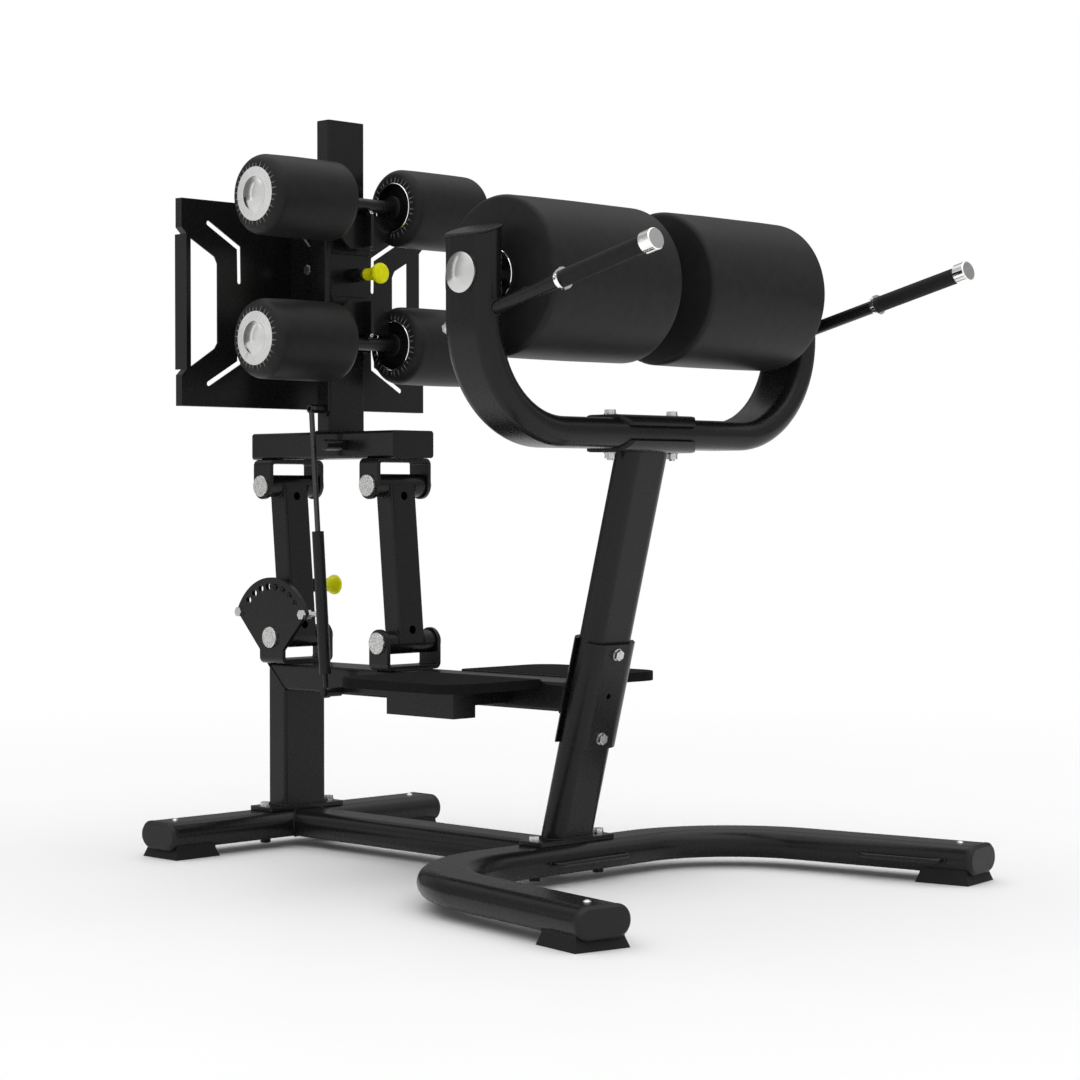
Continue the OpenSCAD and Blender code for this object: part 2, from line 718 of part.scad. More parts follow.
// The rear link carries the lock pin's guide; its outer end enters the hollow knob.
module rear_link() color("#2a2b2d") from_mast() along_link(rear_low_x) difference() {
  union() {
    link_body();
    translate([0, -50, sector_hole_r]) point_y() cylinder(d = guide_d, h = 84.3);
    translate([0, 0, sector_hole_r]) point_y() cylinder(d = stub_d, h = link_knob_y + stub_in_knob);
  }
  translate([0, -100, sector_hole_r]) point_y() cylinder(d = lock_pin_d + 2 * fit, h = 200);
}
module bush(inner) difference() {
  barrel(bush_d - 2 * fit);
  translate([0, -100, 0]) point_y() cylinder(d = inner, h = 200);
}
module rear_link_bushes() color("#b08d57") from_mast() along_link(rear_low_x)
  for (z = [0, link_len]) translate([0, 0, z]) bush(pin_d + 2 * fit);

module front_link() color("#2a2b2d") from_mast() along_link(front_low_x) link_body();
module front_link_bushes() color("#b08d57") from_mast() along_link(front_low_x) {
  bush(pin_d + 2 * fit);
  translate([0, 0, link_len]) bush(pin_d + 2 * open_pivot_gap);
}

// Lock pin along Z with its tip at 0; the ring seats against the knob, whose stem is shorter by the given cut.
module lock_pin(knob_at, cut = 0) {
  cylinder(d = lock_pin_d, h = knob_at + 38 - cut);
  translate([0, 0, knob_at - 3.8]) difference() {
    cylinder(d = 26, h = 3.8);
    translate([0, 0, -1]) cylinder(d = stub_d + 1, h = 10);
  }
}
// Hollow-stemmed mushroom knob, its stem starting at Z = 0.
module knob(cut = 0) difference() {
  rotate_extrude() polygon([[0, 0], [10, 0], [11, 1], [11, 26 - cut], [12, 32 - cut], [14.5, 40 - cut],
    [18.5, 48 - cut], [19.3, 51 - cut], [19, 54 - cut], [17.5, 56 - cut], [15, 57.3 - cut], [0, 58 - cut]]);
  translate([0, 0, -1]) cylinder(d = stub_d + 0.6, h = 15);
  cylinder(d = lock_pin_d + 2 * fit, h = 38 - cut);
}
// Both lock pins stand drawn back, just clear of their holes.
module link_pin() color("#b9bbbe") from_mast() along_link(rear_low_x)
  translate([0, -link_tip, sector_hole_r]) point_y() lock_pin(link_tip + link_knob_y);
module link_knob() color("#e3e600") from_mast() along_link(rear_low_x)
  translate([0, link_knob_y, sector_hole_r]) point_y() knob();

module carriage_beam() color("#2a2b2d") from_mast() difference() {
  mid_z = (carriage_low + carriage_high) / 2;
  translate([-carriage_half, 0, mid_z]) run_x(2 * carriage_half) round_box(box_w, box_h, 6);
  translate([wall - carriage_half, 0, mid_z])
    run_x(2 * (carriage_half - wall)) round_box(box_w - 2 * wall, box_h - 2 * wall, 3);
  translate([0, 0, mid_z]) linear_extrude(50) round_box(mast_d - 2 * wall, mast_w - 2 * wall, 2);
}
module mast() color("#2a2b2d") from_mast() difference() {
  translate([0, 0, carriage_high])
    linear_extrude(mast_top - 3 - carriage_high) box_ring(mast_d, mast_w, 5, wall);
  for (k = [-1:4]) translate([0, 0, pin_z + k * mast_step]) point_x() cylinder(d = lock_pin_d + 1, h = 40);
}
module mast_cap() color("#1c1c1e") from_mast() translate([0, 0, mast_top - 3]) {
  linear_extrude(3) round_box(mast_d, mast_w, 5);
  translate([0, 0, -12]) linear_extrude(13)
    round_box(mast_d - 2 * wall - 2 * fit, mast_w - 2 * wall - 2 * fit, 2);
}
module upper_clevises() color("#2a2b2d") from_mast()
  for (x = [rear_top_x, front_top_x]) translate([x, 0, top_pivot_z]) mirror([0, 0, 1]) clevis();
module stop_peg() color("#3a3b3d") from_mast() translate([68, -box_w / 2, 754.5]) rotate([90, 0, 0]) {
  cylinder(d = 20, h = 48);
  translate([0, 0, 48]) cylinder(d1 = 20, d2 = 16, h = 2);
}

// Sleeve tube with the barrel of its lock pin and the tongue that carries the strut.
module sleeve() color("#2a2b2d") from_mast() difference() {
  union() {
    translate([0, 0, sleeve_low])
      linear_extrude(sleeve_high - sleeve_low) box_ring(sleeve_d, sleeve_w, 10, sleeve_wall);
    translate([sleeve_d / 2 - 2, 0, pin_z]) point_x() cylinder(d = 26, h = 32);
    translate([sleeve_d / 2 - 2, 0, pin_z]) point_x()
      cylinder(d = stub_d, h = sleeve_knob_x + stub_in_knob - 26);
    translate([strut_top[0], -sleeve_w / 2, 0]) run_y_flat(sleeve_wall) {
      translate([-13.5, strut_top[1]]) square([27, sleeve_low + 5 - strut_top[1]]);
      translate([0, strut_top[1]]) circle(13.5);
    }
  }
  translate([0, 0, pin_z]) point_x() cylinder(d = lock_pin_d + 2 * fit, h = 100);
}
module sleeve_glides() color("#3b3b3d") from_mast()
  for (z = [sleeve_low, sleeve_high - 40]) translate([0, 0, z]) linear_extrude(40) difference() {
    round_box(sleeve_d - 2 * sleeve_wall - 2 * fit, sleeve_w - 2 * sleeve_wall - 2 * fit, 5);
    round_box(mast_d + 2 * gap, mast_w + 2 * gap, 5);
  }
module sleeve_pin() color("#b9bbbe") from_mast()
  translate([sleeve_tip, 0, pin_z]) point_x() lock_pin(sleeve_knob_x - sleeve_tip, sleeve_knob_cut);
module sleeve_knob() color("#e3e600") from_mast()
  translate([sleeve_knob_x, 0, pin_z]) point_x() knob(sleeve_knob_cut);

// Folded foot plate; windows and slots are mirrored left to right.
function side_step(a, b, w) = [a[1] - b[1], b[0] - a[0]] / norm(b - a) * w / 2;
// Slot with round ends, whose two straight runs meet on a mitre at the middle point b.
module bent_slot(a, b, c, w) {
  first = side_step(a, b, w);
  last = side_step(b, c, w);
  turn = (first + last) / (1 + first * last * 4 / (w * w));
  polygon([a + first, b + turn, c + last, c - last, b - turn, a - first]);
  for (end = [a, c]) translate(end) circle(d = w);
}
module plate_cuts() {
  mid = (plate_low + plate_high) / 2;
  slot_w = 9;
  polygon([[277, 1131], [222, 1100.5], [215.5, 1088], [215.5, 942], [222, 932], [277, 896.8]]);
  for (s = [0, 1]) translate([0, mid]) mirror([0, s]) translate([0, -mid])
    bent_slot([236, 1161], [165.5, 1120], [164.5, 1058], slot_w);
}
// Outline of the plate in Y and Z, drawn in by the given inset; its sides step in beside the hand grips.
function plate_side(inset) =
  let (wide = plate_half - inset)
  let (narrow = grip_half - inset)
  let (slide = inset * (sqrt(2) - 1))
  let (step = plate_half - grip_half)
  [[wide, plate_low + inset], [wide, notch_low - slide], [narrow, notch_low + step - slide],
   [narrow, notch_high - step + slide], [wide, notch_high + slide], [wide, plate_high - inset]];
module plate_outline(inset) both_halves() polygon(concat([[0, plate_low + inset]], plate_side(inset),
  [[0, plate_high - inset]]));
module both_halves() {
  children();
  mirror([1, 0]) children();
}
module foot_plate() color("#2a2b2d") from_mast() difference() {
  grip_low = notch_low + plate_half - grip_half;
  grip_high = notch_high - plate_half + grip_half;
  union() {
    translate([plate_x - plate_t, 0, 0]) run_x(plate_t) plate_outline(0);
    translate([plate_x - lip_depth, 0, 0]) run_x(lip_depth) difference() {
      plate_outline(0);
      plate_outline(plate_t);
    }
    both_sides() translate([plate_x - grip_depth, grip_half - plate_t, grip_low])
      cube([grip_depth, plate_t, grip_high - grip_low]);
  }
  both_sides() translate([plate_x - plate_t - 1, 0, 0]) run_x(plate_t + 2) plate_cuts();
}

// Cheeks from the sleeve back to the foot plate, and the two roller brackets in front of it.
module sleeve_brackets() color("#2a2b2d") from_mast() {
  both_sides() difference() {
    union() {
      translate([0, tab_y - 10, 0]) run_y_flat(6)
        polygon([[plate_x, 960], [-28, 1030], [-28, 1112], [plate_x, 1180]]);
      translate([-49.5, tab_y - 5, 1046]) cube([21.5, 5, 81]);
    }
    translate([tab_bolt[0], 0, tab_bolt[1]]) point_y() cylinder(d = bolt_d + 2 * fit, h = 100);
  }
  translate([0, 0, pin_z]) for (s = [0, 1]) mirror([0, 0, s]) roller_bracket();
}
// Upper bracket, measured up from the lock pin: base plate, rib under the shaft and cross web.
module roller_bracket() difference() {
  low = 50;
  web_top = 111;
  union() {
    translate([sleeve_d / 2, -45, low - 9]) cube([4, 90, 93]);
    translate([0, -4, 0]) run_y_flat(8) polygon([[30, low], [90.5, low], [90.5, 108], [84, 118],
      [70, shaft_rise], [30, shaft_rise]]);
    translate([60, 0, 0]) run_x(6) polygon([[-34, 47], [34, 47], [62, 73], [62, web_top],
      [-62, web_top], [-62, 73]]);
  }
  translate([shaft_x, -100, shaft_rise]) point_y() cylinder(d = shaft_d, h = 200);
}
module roller_shafts() color("#232325") from_mast()
  for (z = [low_shaft_z, high_shaft_z])
    translate([shaft_x, -256, z]) point_y() cylinder(d = shaft_d, h = 512);
module sleeve_bolts() color("#c4c6c8") from_mast() {
  both_sides() translate([tab_bolt[0], tab_y, tab_bolt[1]]) point_y() rotate(30) hex_bolt(14);
  translate([strut_top[0], -sleeve_w / 2, strut_top[1]]) rotate([90, 0, 0]) cylinder(d = 16, h = 23.2);
}

// Roller outline about the Y axis, drawn on the left (+Y) side, with round shoulders.
module roller_profile(r, inner, outer, inner_edge, outer_edge) {
  translate([0, inner + inner_edge]) square([r, outer - inner - inner_edge - outer_edge]);
  translate([0, inner]) square([r - inner_edge, inner_edge + 1]);
  translate([0, outer - outer_edge - 1]) square([r - outer_edge, outer_edge + 1]);
  translate([r - inner_edge, inner + inner_edge]) circle(inner_edge);
  translate([r - outer_edge, outer - outer_edge]) circle(outer_edge);
}
module ankle_roller() rotate_extrude() difference() {
  roller_profile(roller_r, roller_in, roller_out, 18, 24);
  square([core_r + fit, 500]);
  square([flange_r + gap, roller_in + recess_depth + flange_t + gap]);
  translate([0, roller_out - flange_t + 1]) square([flange_r + gap, 20]);
}
// The hub's inner end is a cup with a boss round the shaft; its outer end is a disc with a dome.
module roller_hub() difference() {
  dome_h = 9;
  dome_r = 31.5;
  ball = (dome_r * dome_r + dome_h * dome_h) / (2 * dome_h);
  cup_end = roller_in + recess_depth;
  boss_out = 2;
  rotate_extrude() {
    translate([0, cup_end]) square([core_r, roller_out - cup_end - 1]);
    translate([0, roller_in]) square([flange_r, recess_depth + flange_t]);
    translate([0, roller_in - boss_out]) square([boss_r, boss_out + 1]);
    translate([0, roller_out - flange_t + 1]) square([flange_r, flange_t]);
    translate([0, roller_out + 1]) intersection() {
      translate([0, dome_h - ball]) circle(ball, $fn = 180);
      square([dome_r, dome_h]);
    }
  }
  cylinder(d = shaft_d + 2 * fit, h = roller_out - 5);
  translate([0, 0, roller_in - 1]) difference() {
    cylinder(r = recess_r, h = recess_depth + 1);
    cylinder(r = boss_r, h = recess_depth + 1);
  }
}
module on_shaft(z, side) from_mast() translate([shaft_x, 0, z])
  mirror([0, side < 0 ? 1 : 0, 0]) point_y() children();
module upper_left_roller() color("#303031") on_shaft(high_shaft_z, 1) ankle_roller();
module upper_right_roller() color("#303031") on_shaft(high_shaft_z, -1) ankle_roller();
module lower_left_roller() color("#303031") on_shaft(low_shaft_z, 1) ankle_roller();
module lower_right_roller() color("#303031") on_shaft(low_shaft_z, -1) ankle_roller();
module upper_left_hub() color("#c9cbce") on_shaft(high_shaft_z, 1) roller_hub();
module upper_right_hub() color("#c9cbce") on_shaft(high_shaft_z, -1) roller_hub();
module lower_left_hub() color("#c9cbce") on_shaft(low_shaft_z, 1) roller_hub();
module lower_right_hub() color("#c9cbce") on_shaft(low_shaft_z, -1) roller_hub();

module on_axle(side) from_mast() translate([yoke_x, 0, axle_z])
  mirror([0, side < 0 ? 1 : 0, 0]) point_y() children();
module thigh_pad() rotate_extrude() difference() {
  roller_profile(thigh_r, thigh_inner, thigh_outer, 9, 9);
  square([core_r + fit, 500]);
}
// Core tube, with a cup on its outer end that hides the spacer's end.
module thigh_core() difference() {
  union() {
    translate([0, 0, thigh_inner]) cylinder(r = core_r, h = thigh_outer - thigh_inner);
    translate([0, 0, thigh_outer]) cylinder(r = cup_r, h = cup_depth);
  }
  translate([0, 0, thigh_outer + cup_floor]) cylinder(r = cup_r - 4, h = cup_depth);
  cylinder(d = axle_d + 2 * fit, h = 500);
}
module left_thigh_pad() color("#303031") on_axle(1) thigh_pad();
module right_thigh_pad() color("#303031") on_axle(-1) thigh_pad();
module left_thigh_core() color("#3b3b3d") on_axle(1) thigh_core();
module right_thigh_core() color("#3b3b3d") on_axle(-1) thigh_core();

// Gas strut beside the links; inside along_strut() it runs along Z from its lower eye.
module along_strut() translate([strut_low[0], strut_y, strut_low[1]]) rotate([0, -strut_lean, 0]) children();
module eye(z, d, w) translate([0, -w / 2, z]) point_y() cylinder(d = d, h = w);
module strut_cylinder() color("#232325") from_mast() along_strut() difference() {
  union() {
    eye(0, 20, 10);
    cylinder(d = 9, h = strut_body[0]);
    translate([0, 0, strut_body[0]]) cylinder(d = 22, h = strut_body[1] - strut_body[0]);
  }
  eye(0, strut_stud_d + 2 * fit, 20);
  translate([0, 0, strut_body[0] + 6])
    cylinder(d = piston_d + 2 * fit, h = strut_body[1] - strut_body[0] - 16);
  translate([0, 0, strut_body[1] - 20]) cylinder(d = strut_rod_d + 2 * fit, h = 40);
}
module strut_rod() color("#3a3b3d") from_mast() along_strut() difference() {
  union() {
    translate([0, 0, 140]) cylinder(d = strut_rod_d, h = strut_len - 140);
    translate([0, 0, 140]) cylinder(d = piston_d, h = 12);
    eye(strut_len, 16, 10);
  }
  eye(strut_len, strut_stud_d + 2 * fit, 20);
}

rear_foot_tube();
centre_tube();
front_foot_tube();
foot_tube_caps();
rubber_feet();
band_loops();
rear_upright();
fixed_beam();
base_plates();
front_post();
post_clamp_shells();
saddle_shells();
yoke();
yoke_caps();
thigh_axle();
handle_bars();
handle_grips();
handle_trim();
step_plates();
step_braces();
sector_clevis();
front_lower_clevis();
stop_bolts();
lower_pivot_pins();
frame_bolts();
frame_nuts();
rear_link();
rear_link_bushes();
link_pin();
link_knob();
front_link();
front_link_bushes();
carriage_beam();
mast();
mast_cap();
upper_clevises();
upper_pivot_pins();
stop_peg();
sleeve();
sleeve_glides();
foot_plate();
sleeve_brackets();
roller_shafts();
sleeve_bolts();
sleeve_pin();
sleeve_knob();
upper_left_roller();
upper_right_roller();
lower_left_roller();
lower_right_roller();
upper_left_hub();
upper_right_hub();
lower_left_hub();
lower_right_hub();
left_thigh_pad();
right_thigh_pad();
left_thigh_core();
right_thigh_core();
strut_cylinder();
strut_rod();
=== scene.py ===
import math
import random

import bmesh
import bpy
from mathutils import Matrix, Vector, noise


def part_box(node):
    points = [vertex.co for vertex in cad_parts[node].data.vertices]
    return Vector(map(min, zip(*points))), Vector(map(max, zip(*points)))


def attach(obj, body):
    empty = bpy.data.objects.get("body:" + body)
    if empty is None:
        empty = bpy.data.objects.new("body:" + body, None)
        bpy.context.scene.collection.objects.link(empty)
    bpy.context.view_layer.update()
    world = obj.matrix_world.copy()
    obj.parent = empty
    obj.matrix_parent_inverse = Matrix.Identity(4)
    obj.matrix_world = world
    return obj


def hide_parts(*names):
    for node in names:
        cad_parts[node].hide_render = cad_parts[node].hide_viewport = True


bl_info = {
    "name": "Glute ham developer",
    "version": (1, 0, 0),
    "blender": (4, 5, 0),
    "location": "3D View > Sidebar > Glute ham",
    "description": "Finishes, upholstery and small details around the glute ham developer's frame",
    "category": "Object",
}

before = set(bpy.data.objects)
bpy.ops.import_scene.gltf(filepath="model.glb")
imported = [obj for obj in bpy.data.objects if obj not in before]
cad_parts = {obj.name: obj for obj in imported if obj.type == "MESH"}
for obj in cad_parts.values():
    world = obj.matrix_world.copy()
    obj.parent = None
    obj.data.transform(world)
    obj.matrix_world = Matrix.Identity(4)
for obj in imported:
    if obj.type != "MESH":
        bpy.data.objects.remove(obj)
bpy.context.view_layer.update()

MM = 0.001
# Distance of the mast's middle line from the origin, along X
MAST_X = -0.46195


def place(x, y, z):
    """A point given in millimetres from the mast's middle line and the floor."""
    return Vector((MAST_X + x * MM, y * MM, z * MM))


def middle(node):
    """Middle of a node's box at rest."""
    low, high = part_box(node)
    return (low + high) / 2


AXLE = middle("thigh_axle")
SHAFT_X = middle("upper_left_hub").x
UPPER_Z = middle("upper_left_hub").z
LOWER_Z = middle("lower_left_hub").z
ROLLER_LOW, ROLLER_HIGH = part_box("upper_left_roller")
THIGH_LOW, THIGH_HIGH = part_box("left_thigh_pad")


# Sizes and colours that a user would change


def colour_setting(name, description, default):
    return bpy.props.FloatVectorProperty(
        name=name, description=description, subtype="COLOR", size=3, min=0, max=1, default=default)


def length_setting(name, description, default, least, most):
    """A length whose value and limits are given in millimetres."""
    return bpy.props.FloatProperty(
        name=name, description=description, unit="LENGTH", default=default * MM,
        min=least * MM, max=most * MM)


def light_setting(name, description, default, most=2):
    return bpy.props.FloatProperty(name=name, description=description, default=default, min=0, max=most)


class FinishColours(bpy.types.PropertyGroup):
    """Colours of the finishes."""

    powder: colour_setting(
        "Powder coat", "Satin black coat on the steel", (0.0078, 0.0079, 0.0081))
    leather: colour_setting(
        "Upholstery", "Black leatherette on the rollers and thigh pads", (0.0160, 0.0160, 0.0163))
    rubber: colour_setting(
        "Rubber", "Grips and feet", (0.010, 0.010, 0.0103))
    plastic: colour_setting(
        "Black plastic", "Tube caps and glides", (0.010, 0.010, 0.0105))
    yellow: colour_setting(
        "Knobs", "Acid-yellow plastic of the pull knobs", (0.79, 0.79, 0.0))
    bright: colour_setting(
        "Bright metal", "Turned aluminium of the discs and domes", (0.60, 0.60, 0.59))
    zinc: colour_setting(
        "Zinc", "Plated bolts, nuts and washers", (0.58, 0.58, 0.57))
    bronze: colour_setting(
        "Bronze", "Bushes in the link barrels", (0.48, 0.30, 0.12))


class RollerSizes(bpy.types.PropertyGroup):
    """Upholstered rollers."""

    disc: length_setting(
        "Disc radius", "Radius of an ankle roller's end discs", 48.5, 20, 70)
    inner_shoulder: length_setting(
        "Inner shoulder", "Length of the soft shoulder at a roller's inner end", 18, 5, 40)
    outer_shoulder: length_setting(
        "Outer shoulder", "Length of the soft shoulder at a roller's outer end", 22, 5, 40)
    thigh_edge: length_setting(
        "Thigh pad edge", "Radius of the edge of a thigh pad", 9, 3, 40)
    crown: length_setting(
        "Crown", "How far the middle of a roller stands proud of its ends", 0.8, 0, 6)
    pleats: bpy.props.IntProperty(
        name="Pleats", description="Gathers of the leatherette around an end disc",
        default=32, min=8, max=60)
    pleat_height: length_setting(
        "Pleat height", "How far the gathers stand up at the disc", 1.5, 0, 5)
    pleat_length: length_setting(
        "Pleat length", "How far the gathers run out from the disc", 9, 2, 20)
    seam_depth: length_setting(
        "Seam depth", "Depth of the lengthwise closing seam", 1.2, 0, 3)


class DetailSizes(bpy.types.PropertyGroup):
    """Small details on the steel."""

    edge: length_setting(
        "Edge rounding", "Rounding of the cut steel edges under the coat", 0.8, 0.1, 3)
    weld_width: length_setting(
        "Weld width", "Width of a weld bead", 4.6, 1, 10)
    weld_pitch: length_setting(
        "Weld pitch", "Distance between the ripples of a weld bead", 2.6, 0.5, 6)
    stitch_pitch: length_setting(
        "Stitch pitch", "Distance between stitches along a closing seam", 4.5, 2, 10)
    stitch_width: length_setting(
        "Stitch width", "Thickness of the sewing thread", 0.9, 0.3, 2)


class StageSettings(bpy.types.PropertyGroup):
    """Camera, lamps and floor."""

    camera_place: bpy.props.FloatVectorProperty(
        name="Camera place", description="Where the camera stands",
        subtype="XYZ", unit="LENGTH", size=3, default=(3.25595, -3.2161, 0.6549))
    camera_turn: bpy.props.FloatVectorProperty(
        name="Camera turn", description="Turn of the camera about X, Y and Z",
        subtype="EULER", size=3,
        default=(math.radians(89.104), math.radians(0.035), math.radians(44.787)))
    lens: bpy.props.FloatProperty(
        name="Lens", description="Focal length of the camera in millimetres",
        default=87.17, min=10, max=300)
    floor: colour_setting(
        "Floor", "Colour of the floor near the object", (0.9, 0.9, 0.9))
    ambient: light_setting(
        "Ambient", "Light of the room on matt surfaces", 0.62)
    ceiling: light_setting(
        "Ceiling", "Light of the bright ceiling", 1.3, 5)
    front: light_setting(
        "Front", "Brightness of the room behind the camera, as glossy surfaces see it", 0.95)
    back: light_setting(
        "Back", "Brightness of the room behind the object, as glossy surfaces see it", 0.22)
    rim: bpy.props.FloatProperty(
        name="Side lights", description="Strength of the tall lights beside the object",
        subtype="POWER", default=3, min=0, max=2000)


# Materials

# Hubs are black up to this distance from the middle of the bench
HUB_BLACK_TO = 150 * MM
# Nuts are black up to this height over the floor
NUTS_BLACK_TO = 50 * MM
# The black fittings of the strut lie within this distance of its ends
FITTING_REACH = 47 * MM
# Width over which the black ends on bare metal
COAT_EDGE = 1 * MM
# Lines per metre on turned metal
TURNING_LINES = 3200


class Shader:
    """Builds one node material step by step."""

    def __init__(self, name, colour, metallic=0.0, roughness=0.5, specular=0.5):
        self.material = bpy.data.materials.new(name)
        self.material.use_nodes = True
        self.tree = self.material.node_tree
        self.tree.nodes.clear()
        self.output = self.add("ShaderNodeOutputMaterial")
        self.surface = self.add("ShaderNodeBsdfPrincipled")
        self.link(self.surface.outputs["BSDF"], self.output.inputs["Surface"])
        self.colour = (*colour, 1.0)
        self.surface.inputs["Base Color"].default_value = self.colour
        self.surface.inputs["Metallic"].default_value = metallic
        self.surface.inputs["Roughness"].default_value = roughness
        self.surface.inputs["Specular IOR Level"].default_value = specular
        self.place = self.add("ShaderNodeTexCoord").outputs["Object"]
        self.last_bump = None

    def add(self, kind, **values):
        node = self.tree.nodes.new(kind)
        for key, value in values.items():
            if key in node.inputs:
                node.inputs[key].default_value = value
            else:
                setattr(node, key, value)
        return node

    def link(self, start, end):
        self.tree.links.new(start, end)

    def moved(self, centre, scale=(1, 1, 1)):
        """Object coordinates measured from a centre and stretched."""
        mapping = self.add("ShaderNodeMapping", vector_type="POINT")
        mapping.inputs["Scale"].default_value = scale
        mapping.inputs["Location"].default_value = [-c * s for c, s in zip(centre, scale)]
        self.link(self.place, mapping.inputs["Vector"])
        return mapping.outputs["Vector"]

    def grain(self, scale, detail=2.0):
        """Noise at a number of waves per metre."""
        found = self.add("ShaderNodeTexNoise", noise_dimensions="3D")
        found.inputs["Scale"].default_value = scale
        found.inputs["Detail"].default_value = detail
        self.link(self.place, found.inputs["Vector"])
        return found.outputs["Fac"]

    def cells(self, scale, feature="F1"):
        """Small cells at a number per metre."""
        found = self.add("ShaderNodeTexVoronoi", feature=feature)
        found.inputs["Scale"].default_value = scale
        self.link(self.place, found.inputs["Vector"])
        return found.outputs["Distance"]

    def ranged(self, value, low, high, start=0.0, end=1.0):
        """Maps a value from a range to another."""
        node = self.add("ShaderNodeMapRange", clamp=True)
        for key, number in (("From Min", low), ("From Max", high), ("To Min", start), ("To Max", end)):
            node.inputs[key].default_value = number
        self.link(value, node.inputs["Value"])
        return node.outputs["Result"]

    def roughness(self, value, low, high):
        """Lets the roughness follow a value."""
        self.link(self.ranged(value, 0.3, 0.7, low, high), self.surface.inputs["Roughness"])

    def tint(self, value, amount):
        """Varies the colour a little to both sides of its own."""
        mix = self.add("ShaderNodeMix", data_type="RGBA")
        mix.inputs["A"].default_value = [c * (1 - amount) for c in self.colour[:3]] + [1]
        mix.inputs["B"].default_value = [min(1, c * (1 + amount)) for c in self.colour[:3]] + [1]
        self.link(self.ranged(value, 0.3, 0.7), mix.inputs["Factor"])
        self.link(mix.outputs["Result"], self.surface.inputs["Base Color"])

    def bump(self, height, depth, strength=1.0):
        """Adds a relief of a depth in metres on top of what is there."""
        node = self.add("ShaderNodeBump")
        node.inputs["Strength"].default_value = strength
        node.inputs["Distance"].default_value = depth
        self.link(height, node.inputs["Height"])
        if self.last_bump:
            self.link(self.last_bump, node.inputs["Normal"])
        self.last_bump = node.outputs["Normal"]
        self.link(self.last_bump, self.surface.inputs["Normal"])


def powder_coat(colour):
    made = Shader("powder_coat", colour, roughness=0.27, specular=0.23)
    made.tint(made.grain(35), 0.06)
    made.roughness(made.grain(140, 4), 0.24, 0.30)
    made.bump(made.grain(1100, 2), 0.03 * MM, 0.3)
    return made.material


def step_coat(colour):
    """Coarse anti-slip coat on the steps."""
    made = Shader("step_coat", colour, roughness=0.85, specular=0.08)
    made.tint(made.grain(90, 3), 0.14)
    made.roughness(made.grain(400, 4), 0.8, 0.9)
    made.bump(made.cells(900), 0.18 * MM, 0.7)
    return made.material


def leatherette(colour):
    """Matt grained cover; a painted highlight lightens the crests of its gathers."""
    made = Shader("leatherette", colour, roughness=0.42, specular=0.13)
    made.tint(made.grain(60, 3), 0.12)
    base = made.surface.inputs["Base Color"].links[0].from_socket
    # Painted highlight: the fold weight mixes a lighter grey into the colour on the crests of the gathers
    fold = made.add("ShaderNodeAttribute", attribute_name="fold")
    painted_crest_highlight = made.add("ShaderNodeMix", data_type="RGBA")
    made.link(base, painted_crest_highlight.inputs["A"])
    painted_crest_highlight.inputs["B"].default_value = (0.30, 0.30, 0.30, 1)
    made.link(fold.outputs["Fac"], painted_crest_highlight.inputs["Factor"])
    made.link(painted_crest_highlight.outputs["Result"], made.surface.inputs["Base Color"])
    made.roughness(made.grain(500, 3), 0.39, 0.46)
    made.bump(made.cells(950, "DISTANCE_TO_EDGE"), 0.07 * MM, 0.35)
    made.bump(made.grain(22, 2), 0.9 * MM, 0.10)
    return made.material


def moulded_rubber(colour):
    made = Shader("moulded_rubber", colour, roughness=0.62, specular=0.2)
    made.tint(made.grain(80, 3), 0.15)
    made.roughness(made.grain(300, 4), 0.55, 0.70)
    made.bump(made.grain(1800, 4), 0.07 * MM, 0.6)
    return made.material


def moulded_plastic(colour):
    made = Shader("moulded_plastic", colour, roughness=0.45, specular=0.25)
    made.tint(made.grain(60), 0.10)
    made.roughness(made.grain(260, 3), 0.38, 0.50)
    made.bump(made.cells(1500), 0.04 * MM, 0.35)
    return made.material


def yellow_plastic(colour):
    made = Shader("yellow_plastic", colour, roughness=0.36, specular=0.15)
    made.surface.inputs["Coat Weight"].default_value = 0.04
    made.surface.inputs["Coat Roughness"].default_value = 0.15
    made.tint(made.grain(90), 0.06)
    made.roughness(made.grain(500, 3), 0.28, 0.42)
    made.bump(made.grain(1500, 2), 0.03 * MM, 0.4)
    return made.material


def turned_metal(name, colour, axis, inner_black=None):
    """Aluminium with fine turning lines around an axis along Y; a hub's inner part may be made black."""
    rough = 0.17
    made = Shader(name, colour, metallic=1.0, roughness=rough)
    around = made.moved((axis.x, 0, axis.z), (1, 0, 1))
    length = made.add("ShaderNodeVectorMath", operation="LENGTH")
    made.link(around, length.inputs[0])
    line = made.add("ShaderNodeTexNoise", noise_dimensions="1D")
    line.inputs["Scale"].default_value = TURNING_LINES
    line.inputs["Detail"].default_value = 3
    made.link(length.outputs["Value"], line.inputs["W"])
    made.tint(made.grain(30), 0.05)
    made.roughness(line.outputs["Fac"], rough - 0.06, rough + 0.10)
    made.bump(line.outputs["Fac"], 0.02 * MM, 0.55)
    if inner_black:
        apart = made.add("ShaderNodeSeparateXYZ")
        made.link(made.place, apart.inputs["Vector"])
        across = made.add("ShaderNodeMath", operation="ABSOLUTE")
        made.link(apart.outputs["Y"], across.inputs[0])
        end = HUB_BLACK_TO + COAT_EDGE
        covered(made, made.ranged(across.outputs["Value"], HUB_BLACK_TO, end, 1, 0), inner_black)
    return made.material


def covered(made, mask, colour):
    """Mixes a black surface over a metal where a mask is 1."""
    coat = made.add("ShaderNodeBsdfPrincipled", Roughness=0.36)
    coat.inputs["Base Color"].default_value = (*colour, 1)
    coat.inputs["Specular IOR Level"].default_value = 0.2
    mix = made.add("ShaderNodeMixShader")
    made.link(mask, mix.inputs["Fac"])
    made.link(made.surface.outputs["BSDF"], mix.inputs[1])
    made.link(coat.outputs["BSDF"], mix.inputs[2])
    made.link(mix.outputs["Shader"], made.output.inputs["Surface"])


